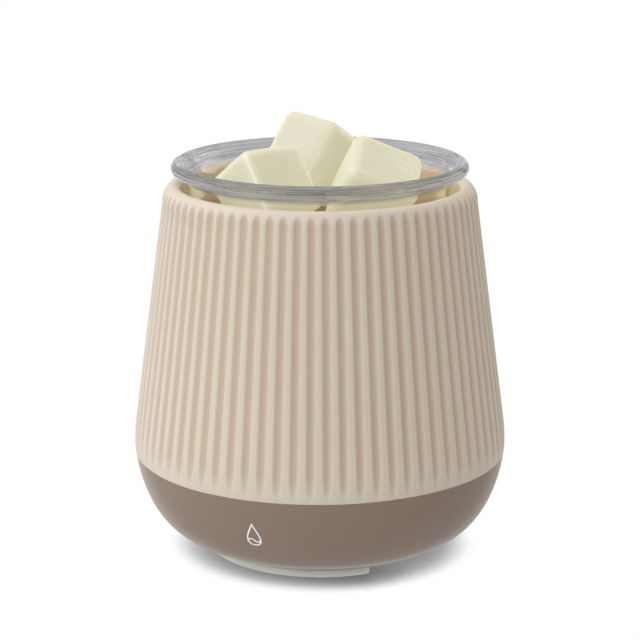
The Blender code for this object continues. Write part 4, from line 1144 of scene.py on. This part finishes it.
def exit_frame():
    """Location and rotation of the cord's way out through the back wall."""
    return (0, EXIT_RADIUS, EXIT_HEIGHT), (-90 - EXIT_SLOPE, 0, 0)


def along_exit(distance):
    """Point on the line along which the cord passes the back wall."""
    slope = math.radians(EXIT_SLOPE)
    return (0, EXIT_RADIUS + distance * math.cos(slope), EXIT_HEIGHT - distance * math.sin(slope))


def pot_cord_points():
    """From the saddle in the pot, out through the wall, round the floor turn, to the switch."""
    path = [
        (0, BLOCK_BACK + 2, CORD_INSIDE_Z),
        (0, SADDLE_Y, CORD_INSIDE_Z),
        (0, SADDLE_Y + 6, CORD_INSIDE_Z + 1),
        *CORD_RISE,
        *[along_exit(station) for station in EXIT_STATIONS],
        *CORD_LANDING,
        (0, COIL_CENTRE[1], CORD_LEVEL),
    ]
    leave = math.radians(LEAVE_ANGLE)
    centre_x = (COIL_RADIUS - LEAVE_RADIUS) * math.cos(leave)
    centre_y = (COIL_RADIUS - LEAVE_RADIUS) * math.sin(leave)
    turn = []
    for step, (x, y) in enumerate(arc(centre_x, centre_y, LEAVE_RADIUS, LEAVE_ANGLE, 360, LEAVE_STEPS)):
        turn.append((x, y, CORD_LEVEL + COIL_PITCH * ease(step / LEAVE_STEPS)))
    end_y = SWITCH_PLACE[1] - SWITCH_SIZE[1] / 2 + SWITCH_WALL + CORD_SEAT
    turn.append((SWITCH_PLACE[0], end_y, SWITCH_SPLIT))
    return smooth_path(path, 8) + coil_points(0, LEAVE_ANGLE, 0) + from_coil(turn[1:])


def plug_cord_points():
    """From the switch up to the second turn, round the coil and down into the plug."""
    switch_x, switch_y = SWITCH_PLACE
    end_y = switch_y + SWITCH_SIZE[1] / 2
    turn_y = end_y + 3
    reach = COIL_RADIUS ** 2 - switch_x ** 2 - turn_y ** 2
    turn_radius = reach / (2 * (COIL_RADIUS - switch_x))
    join_angle = math.degrees(math.atan2(turn_y, switch_x - turn_radius))
    start = [(switch_x, end_y - SWITCH_WALL - CORD_SEAT, SWITCH_SPLIT)]
    turn = arc(switch_x - turn_radius, turn_y, turn_radius, 0, join_angle, TURN_STEPS)
    start += [(x, y, SWITCH_SPLIT) for x, y in turn[:-1]]
    top = CORD_LEVEL + 3 * COIL_PITCH
    plug_z = SWITCH_BOTTOM + PLUG_SIZE[2] / 2
    plug_x, plug_y = PLUG_PLACE
    tail_end = plug_y + PLUG_SIZE[1] / 2 + PLUG_TAIL
    way_down = [
        (0, COIL_RADIUS, top),
        *[(x, y, top + rise) for x, y, rise in CORD_DESCENT],
        (*CORD_APPROACH[:2], plug_z + CORD_APPROACH[2]),
        (plug_x, tail_end, plug_z),
        (plug_x, tail_end - PLUG_TAIL, plug_z),
    ]
    descent = smooth_path(way_down, 10)
    return from_coil(start) + coil_points(join_angle, COIL_END, 1) + from_coil(descent[1:] + [way_down[-1]])


def make_cord(name, points, material, sides=24):
    """Round cord swept along a path, with closed ends."""
    path = [Vector(point) for point in points]
    verts = []
    across = Vector((0, 0, 1))
    for index, point in enumerate(path):
        way = (path[min(index + 1, len(path) - 1)] - path[max(index - 1, 0)]).normalized()
        across = (across - way * across.dot(way)).normalized()
        other = way.cross(across)
        for side in range(sides):
            turn = 2 * math.pi * side / sides
            verts.append(point + (across * math.cos(turn) + other * math.sin(turn)) * CORD_RADIUS)
    faces = [list(range(sides)), list(range(len(verts) - sides, len(verts)))]
    faces += band_faces(len(path), sides)
    return make_object(name, [tuple(vert) for vert in verts], faces, material, 60.0)


def rib_points(section, reach, height):
    """The section of a rib or an edge, moved to its radius and height."""
    return [(reach + out, height + up) for out, up in section]


def make_grommet(material):
    """Bush through the wall with a flange outside and a ribbed tapered sleeve."""
    profile = [(BORE, GROMMET_INNER_END), (BORE, GROMMET_SLEEVE), (GROMMET_TIP_RADIUS, GROMMET_SLEEVE)]
    for rib in range(GROMMET_RIBS):
        high = GROMMET_SLEEVE - GROMMET_RIB_START - rib * GROMMET_RIB_PITCH
        profile += rib_points(GROMMET_RIB, GROMMET_RIB_REACH + rib * GROMMET_RIB_WIDENING, high)
    barrel = GROMMET_HOLE - GAP
    profile += [GROMMET_SHOULDER, *rib_points(GROMMET_EDGE, GROMMET_FLANGE, 0)]
    profile += [(barrel, GROMMET_EDGE[-1][1]), (barrel, GROMMET_INNER_END)]
    mesh = turned_mesh(profile, 64, True)
    location, rotation = exit_frame()
    tilt = Matrix.Rotation(math.radians(rotation[0]), 4, "X")
    mesh.transform(Matrix.Translation(Vector(location) * MM) @ tilt)
    return finish_object("cord_bush", mesh, material)


def make_tie(material):
    """Band round the stacked turns of the coil, with rounded corners."""
    half_width = CORD_RADIUS + 2 * GAP
    low = CORD_LEVEL - CORD_RADIUS - GAP
    high = CORD_LEVEL + 2 * COIL_PITCH + CORD_RADIUS + GAP
    verts = []
    corners = ((half_width, high), (-half_width, high), (-half_width, low), (half_width, low))
    widths = (-0.5, -0.46, 0.46, 0.5)
    section = [(w * TIE_WIDTH, 0.0 if abs(w) < 0.5 else 0.2) for w in widths]
    loop = []
    for number, (x, z) in enumerate(corners):
        cx = x - math.copysign(TIE_ROUND, x)
        cz = z - TIE_ROUND if z == high else z + TIE_ROUND
        loop += [(cx, cz, angle) for angle in np.linspace(90 * number, 90 * number + 90, 7)]
    for cx, cz, angle in loop:
        a = math.radians(angle)
        for along, dip in section:
            reach = TIE_ROUND + TIE_SHEET - dip
            verts.append((cx + reach * math.cos(a), cz + reach * math.sin(a), along))
        for along, dip in reversed(section):
            reach = TIE_ROUND + dip
            verts.append((cx + reach * math.cos(a), cz + reach * math.sin(a), along))
    faces = band_faces(len(loop), 2 * len(section), closed=True)
    turn = math.radians(TIE_ANGLE)
    centre = (COIL_CENTRE[0] + COIL_RADIUS * math.cos(turn), COIL_CENTRE[1] + COIL_RADIUS * math.sin(turn))
    spin = Matrix.Rotation(turn, 4, "Z") @ Matrix.Rotation(math.pi / 2, 4, "X")
    placed = [Matrix.Translation((*centre, 0)) @ spin @ Vector(vert) for vert in verts]
    return make_object("coil_tie", [tuple(vert) for vert in placed], faces, material)


# in-line switch


def switch_point(x, y):
    """Place of a point given from the middle of the switch."""
    return x + SWITCH_PLACE[0] + COIL_CENTRE[0], y + SWITCH_PLACE[1] + COIL_CENTRE[1]


def switch_box(size, low, high):
    """Working box centred on the switch between two heights."""
    return working(box_mesh((*size, high - low)), (*switch_point(0, 0), (low + high) / 2))


def make_housing(low, high, hollow_low, hollow_high, outer_side):
    """Half of the switch shell, rounded away from the seam; the cutters come in later."""
    housing = switch_box(SWITCH_SIZE, low, high)
    bevel = add_bevel(housing, SWITCH_ROUND, 8)
    bevel.limit_method = "WEIGHT"
    weights = housing.data.attributes.new("bevel_weight_edge", "FLOAT", "EDGE")
    for edge, weight in zip(housing.data.edges, weights.data):
        ends = [housing.data.vertices[index].co.z * outer_side for index in edge.vertices]
        weight.value = 0.0 if max(ends) < 0 else 1.0
    room = (SWITCH_SIZE[0] - 2 * SWITCH_WALL, SWITCH_SIZE[1] - 2 * SWITCH_WALL)
    combine(housing, switch_box(room, hollow_low, hollow_high))
    way = rods_mesh([(0, 0)], BORE, -SWITCH_SIZE[1], SWITCH_SIZE[1])
    spot = (*switch_point(0, 0), SWITCH_SPLIT)
    carve(housing, way, spot, (90, 0, 0))
    return housing


def make_housings(material):
    """Both halves of the switch's housing, with screw wells, the rocker's mouth and grip lines."""
    split_low = SWITCH_SPLIT - GAP / 2
    split_high = SWITCH_SPLIT + GAP / 2
    floor = SWITCH_BOTTOM + SWITCH_WALL
    roof = SWITCH_TOP - SWITCH_WALL
    lower = make_housing(SWITCH_BOTTOM, split_low, floor, split_low + 1, -1)
    upper = make_housing(split_high, SWITCH_TOP, split_high - 1, roof, 1)
    screws = [switch_point(0, -SWITCH_SCREW_Y), switch_point(0, SWITCH_SCREW_Y)]
    wells = rods_mesh(screws, SWITCH_WELL_RADIUS, SWITCH_BOTTOM - 1, SWITCH_BOTTOM + 1.0)
    carve(lower, wells)
    mouth = outline_mesh(rounded_outline(*MOUTH), MOUTH_CUT)
    carve(upper, mouth, (*switch_point(0, 0), SWITCH_TOP))
    sink = outline_mesh(rounded_outline(*SINK), SINK_CUT)
    carve(upper, sink, (*switch_point(0, 0), SWITCH_TOP + SINK_LIFT))
    for side in (-1, 1):
        for number in range(GRIP_COUNT):
            y = side * (GRIP_START + number * GRIP_PITCH)
            carve(upper, box_mesh(GRIP_SIZE), (*switch_point(0, y), SWITCH_TOP))
    return bake("switch_shell_lower", lower, material), bake("switch_shell_upper", upper, material)


def rounded_outline(half_x, half_y, radius):
    """Closed outline of a rounded rectangle."""
    x, y = half_x - radius, half_y - radius
    outline = arc(x, y, radius, 0, 90, 6) + arc(-x, y, radius, 90, 180, 6)
    return outline + arc(-x, -y, radius, 180, 270, 6) + arc(x, -y, radius, 270, 360, 6)


def make_rocker(material):
    """Tipping button with a soft saddle top, tilted to its off position."""
    half = ROCKER_HALF_LENGTH
    outline = [
        (-half, ROCKER_SLANT_TOP),
        (-half + ROCKER_SLANT, ROCKER_BOTTOM),
        (half - ROCKER_SLANT, ROCKER_BOTTOM),
        (half, ROCKER_SLANT_TOP),
        (half - ROCKER_END_LEAN, ROCKER_END_TOP),
    ]
    for step in range(SADDLE_STEPS + 1):
        y = half - SADDLE_MARGIN - (2 * half - 2 * SADDLE_MARGIN) * step / SADDLE_STEPS
        outline.append((y, SADDLE_BOTTOM + SADDLE_RISE * (y / SADDLE_REACH) ** 2))
    outline.append((ROCKER_END_LEAN - half, ROCKER_END_TOP))
    mesh = outline_mesh(outline, ROCKER_WIDTH)
    mesh.transform(Matrix.Rotation(math.pi / 2, 4, "Z") @ Matrix.Rotation(math.pi / 2, 4, "X"))
    spot = (*switch_point(0, 0), PIN_Z)
    rocker = working(mesh, spot, (-ROCKER_TILT, 0, 0))
    add_bevel(rocker, ROCKER_ROUND, 4)
    bore = rods_mesh([(0, 0)], PIN_RADIUS + GAP, -CUT_REACH, CUT_REACH)
    carve(rocker, bore, spot, (0, 90, 0))
    for side in (-1, 1):
        dot = rods_mesh([(0, side * DIMPLE_PLACE)], DIMPLE_RADIUS, DIMPLE_FLOOR, 6.0)
        carve(rocker, dot, spot, (-ROCKER_TILT, 0, 0))
    return bake("switch_button", rocker, material)


# plug


def make_plug(material):
    """Moulded plug body with grip ribs and a ringed tail."""
    x = PLUG_PLACE[0] + COIL_CENTRE[0]
    y = PLUG_PLACE[1] + COIL_CENTRE[1]
    z = SWITCH_BOTTOM + PLUG_SIZE[2] / 2
    half = PLUG_SIZE[1] / 2
    body = working(box_mesh(PLUG_SIZE), (x, y, z))
    add_bevel(body, PLUG_ROUND, 8)
    profile = [(0, TAIL_ROOT_START), (TAIL_ROOT, TAIL_ROOT_START), (TAIL_ROOT, TAIL_ROOT_END)]
    for ring in range(TAIL_RINGS):
        low = TAIL_RING_START + ring * TAIL_RING_PITCH
        profile += rib_points(TAIL_RING, TAIL_RING_REACH - TAIL_RING_NARROWING * ring, low)
    profile += [(TAIL_TIP_RADIUS, PLUG_TAIL), (0, PLUG_TAIL)]
    tail = working(turned_mesh(profile, 48), (x, y + half, z), (-90, 0, 0))
    combine(body, tail, "UNION")
    way = rods_mesh([(0, 0)], BORE, -2, PLUG_TAIL + 2)
    carve(body, way, (x, y + half, z), (-90, 0, 0))
    for side in (-1, 1):
        for number in range(PLUG_RIB_COUNT):
            place = (x + side * PLUG_SIZE[0] / 2, y + PLUG_RIB_START + number * PLUG_RIB_PITCH, z)
            carve(body, box_mesh(PLUG_RIB_SIZE), place)
        slot = box_mesh((BLADE_THICKNESS + 2 * GAP, 2 * BLADE_SEAT, BLADE_WIDTH + 2 * GAP))
        carve(body, slot, (x + side * BLADE_SPACING / 2, y - half, z))
    return bake("plug_moulding", body, material)


def make_blade(name, side, material):
    """Flat blade with chamfered tip, softened edges and a hole near the tip."""
    half = BLADE_WIDTH / 2
    seat = GAP - BLADE_SEAT
    tip = BLADE_LENGTH
    outline = [(seat, -half), (tip - BLADE_CHAMFER, -half), (tip, BLADE_CHAMFER - half)]
    outline += [(tip, half - BLADE_CHAMFER), (tip - BLADE_CHAMFER, half), (seat, half)]
    mesh = outline_mesh(outline, BLADE_THICKNESS)
    x = PLUG_PLACE[0] + COIL_CENTRE[0] + side * BLADE_SPACING / 2
    y = PLUG_PLACE[1] + COIL_CENTRE[1] - PLUG_SIZE[1] / 2
    spot = (x, y, SWITCH_BOTTOM + PLUG_SIZE[2] / 2)
    blade = working(mesh, spot, (90, 0, -90))
    add_bevel(blade, 0.3, 3)
    hole = rods_mesh([(tip - BLADE_HOLE_FROM_TIP, 0)], BLADE_HOLE_RADIUS, -3, 3)
    carve(blade, hole, spot, (90, 0, -90))
    return bake(name, blade, material)


# stage


def make_floor(material):
    verts = [(x * FLOOR_SIZE, y * FLOOR_SIZE, 0) for x, y in ((-1, -1), (1, -1), (1, 1), (-1, 1))]
    make_object("floor", verts, [[0, 1, 2, 3]], material)


def view_vector(azimuth, pitch):
    """Unit vector from the object towards a viewer."""
    a, e = math.radians(azimuth), math.radians(pitch)
    return Vector((math.sin(a) * math.cos(e), -math.cos(a) * math.cos(e), math.sin(e)))


def make_world():
    """White to the eye, brighter light from the left, and soft dark cards for what glass shows."""
    world = bpy.data.worlds.new("studio")
    bpy.context.scene.world = world
    world.use_nodes = True
    tree = world.node_tree
    tree.nodes.clear()
    path = add_node(tree, "LightPath").outputs
    way = add_node(tree, "TexCoord").outputs["Generated"]
    height = add_node(tree, "SeparateXYZ", {0: way}).outputs[2]
    bands = add_node(tree, "ValToRGB", {0: maths(tree, "MULTIPLY_ADD", height, 0.5, 0.5)})
    ramp = bands.color_ramp
    ramp.elements[0].position = 0.44
    ramp.elements[0].color = (0.95, 0.95, 0.96, 1)
    ramp.elements[1].position = 0.97
    ramp.elements[1].color = (1.05, 1.05, 1.05, 1)
    for position, level in CARD_LEVELS:
        element = ramp.elements.new(position)
        element.color = (level, level, level * 1.02, 1)
    left = view_vector(CAMERA_AZIMUTH - 90.0, 10.0)
    lean = add_node(tree, "VectorMath", {0: way, 1: left}, operation="DOT_PRODUCT")
    strength = maths(tree, "MULTIPLY_ADD", lean.outputs["Value"], AMBIENT * AMBIENT_SLOPE, AMBIENT)
    warmth = remap(tree, lean.outputs["Value"], -1.0, 1.0)
    colour = mix(tree, warmth, (1.0, 0.9, 0.78, 1), (1.0, 1.0, 1.01, 1))
    glossy = maths(tree, "MAXIMUM", path["Is Glossy Ray"], path["Is Transmission Ray"])
    direct = maths(tree, "LESS_THAN", path["Diffuse Depth"], 0.5)
    glossy = times(tree, glossy, direct)
    soft = add_node(tree, "Background", {"Color": colour, "Strength": strength})
    cards = add_node(tree, "Background", {"Color": bands.outputs[0], "Strength": 1.0})
    white = add_node(tree, "Background", {"Color": (1, 1, 1, 1), "Strength": 1.05})
    first = mix_shaders(tree, glossy, soft, cards)
    second = mix_shaders(tree, path["Is Camera Ray"], first, white)
    output = add_node(tree, "OutputWorld")
    tree.links.new(second.outputs[0], output.inputs["Surface"])


def pot_middle(height):
    return Vector((0, POT_AXIS_Y, height)) * MM


def add_softbox(name, azimuth, pitch, distance, size, power):
    """Rectangular area light aimed at the middle of the pot; the azimuth is seen from the camera."""
    light = bpy.data.lights.new(name, "AREA")
    light.shape = "RECTANGLE"
    light.size, light.size_y = [value * MM for value in size]
    light.energy = power
    item = bpy.data.objects.new(name, light)
    way = view_vector(CAMERA_AZIMUTH + azimuth, pitch)
    item.location = pot_middle(70) + way * distance * MM
    item.rotation_euler = way.to_track_quat("Z", "Y").to_euler()
    bpy.context.scene.collection.objects.link(item)


def add_camera():
    camera = bpy.data.cameras.new("camera")
    camera.lens = CAMERA_LENS
    camera.sensor_width = CAMERA_SENSOR
    camera.clip_end = 50
    item = bpy.data.objects.new("camera", camera)
    way = view_vector(CAMERA_AZIMUTH, CAMERA_PITCH)
    item.location = pot_middle(CAMERA_TARGET) + way * CAMERA_DISTANCE * MM
    item.rotation_euler = way.to_track_quat("Z", "Y").to_euler()
    bpy.context.scene.collection.objects.link(item)
    bpy.context.scene.camera = item


def paint_node(nodes, material, *names):
    """Give CAD nodes that stay as they are their finish."""
    for name in names:
        nodes[name].data.materials.clear()
        nodes[name].data.materials.append(material)


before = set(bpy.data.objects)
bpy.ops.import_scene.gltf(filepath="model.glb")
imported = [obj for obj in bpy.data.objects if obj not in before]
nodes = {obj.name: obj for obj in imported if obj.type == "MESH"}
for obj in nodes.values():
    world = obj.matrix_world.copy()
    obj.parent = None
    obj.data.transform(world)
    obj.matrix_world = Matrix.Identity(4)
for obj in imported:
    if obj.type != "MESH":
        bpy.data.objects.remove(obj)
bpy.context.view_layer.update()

put_on(make_ceramic(ceramic_material()), "pot", "ceramic_shell")
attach(make_mark(mark_material()), "pot")
put_on(make_dish(glass_material()), "dish", "glass_dish")

wax = wax_material()
for number, (side, (location, rotation, crease_highlight, crumbs)) in enumerate(WAX_PLACES.items()):
    cube = make_wax_cube("wax_piece_" + side, location, rotation, crease_highlight, crumbs, number + 1, wax)
    put_on(cube, "wax_" + side, "wax_cube_" + side)

silicone = moulded_material("grey_green_silicone", (184, 187, 177), 0.5)
put_on(make_foot("foot_pad_front", -90.0, silicone), "pot", "foot_front")
put_on(make_foot("foot_pad_rear", 90.0, silicone), "pot", "foot_rear")

steel = metal_material("zinc_steel", (176, 178, 180), 0.38, 240.0)
aluminium = metal_material("turned_aluminium", (196, 196, 196), 0.32, 2600.0, True)
put_on(make_plate(aluminium), "pot", "heater_plate")
put_on(make_pan(steel), "pot", "heater_cup")
put_on(make_seal(silicone), "pot", "cup_gasket")
put_on(make_base(moulded_material("base_plastic", (138, 138, 132), 0.55, 0.06)), "pot", "base_plate")

cord_rubber = moulded_material("cord_rubber", (212, 209, 201), 0.5, 0.04, 0.1)
put_on(make_cord("cord_to_switch", pot_cord_points(), cord_rubber), "pot", "power_cord_pot")
put_on(make_cord("cord_to_plug", plug_cord_points(), cord_rubber), "pot", "power_cord_plug")
put_on(make_grommet(cord_rubber), "pot", "cord_grommet")
put_on(make_tie(woven_material()), "pot", "cord_tie")
shell_plastic = moulded_material("shell_plastic", (214, 211, 203), 0.42, 0.05)
shell_lower, shell_upper = make_housings(shell_plastic)
put_on(shell_lower, "pot", "switch_housing_lower")
put_on(shell_upper, "pot", "switch_housing_upper")
put_on(make_rocker(moulded_material("rocker_plastic", (112, 101, 92), 0.35)), "rocker", "switch_rocker")
put_on(make_plug(cord_rubber), "pot", "plug_body")
brass = metal_material("brass", (196, 168, 96), 0.3, 300.0)
put_on(make_blade("blade_left", -1, brass), "pot", "plug_blade_left")
put_on(make_blade("blade_right", 1, brass), "pot", "plug_blade_right")

block = moulded_material("block_plastic", (216, 214, 206), 0.45)
for place in ("front", "left", "right"):
    paint_node(nodes, steel, "tie_rod_" + place, "tie_nut_" + place)
for place in ("left", "right"):
    paint_node(nodes, steel, "terminal_screw_" + place, "cord_clamp_screw_" + place)
paint_node(nodes, steel, "element_clamp", "clamp_stud", "clamp_nut", "fuse_clip", "fuse_screw")
paint_node(nodes, steel, "rocker_pin", "switch_screw_front", "switch_screw_rear")
paint_node(nodes, brass, "thermal_fuse", "switch_contact")
paint_node(nodes, block, "terminal_block", "cord_clamp")
paint_node(nodes, board_material("heater_cement", (128, 118, 104), (156, 146, 132), 500.0), "heating_element")
paint_node(nodes, board_material("mica_board", (150, 136, 108), (196, 184, 158), 260.0), "insulation_disc")
paint_node(nodes, moulded_material("lead_sleeve", (150, 56, 42), 0.6), "lead_live", "lead_neutral")

make_floor(floor_material())
make_world()
add_softbox("rim_right", 125.0, 15.0, 1500.0, (900.0, 900.0), 4.0)
add_camera()
bpy.context.scene.view_settings.view_transform = "Standard"
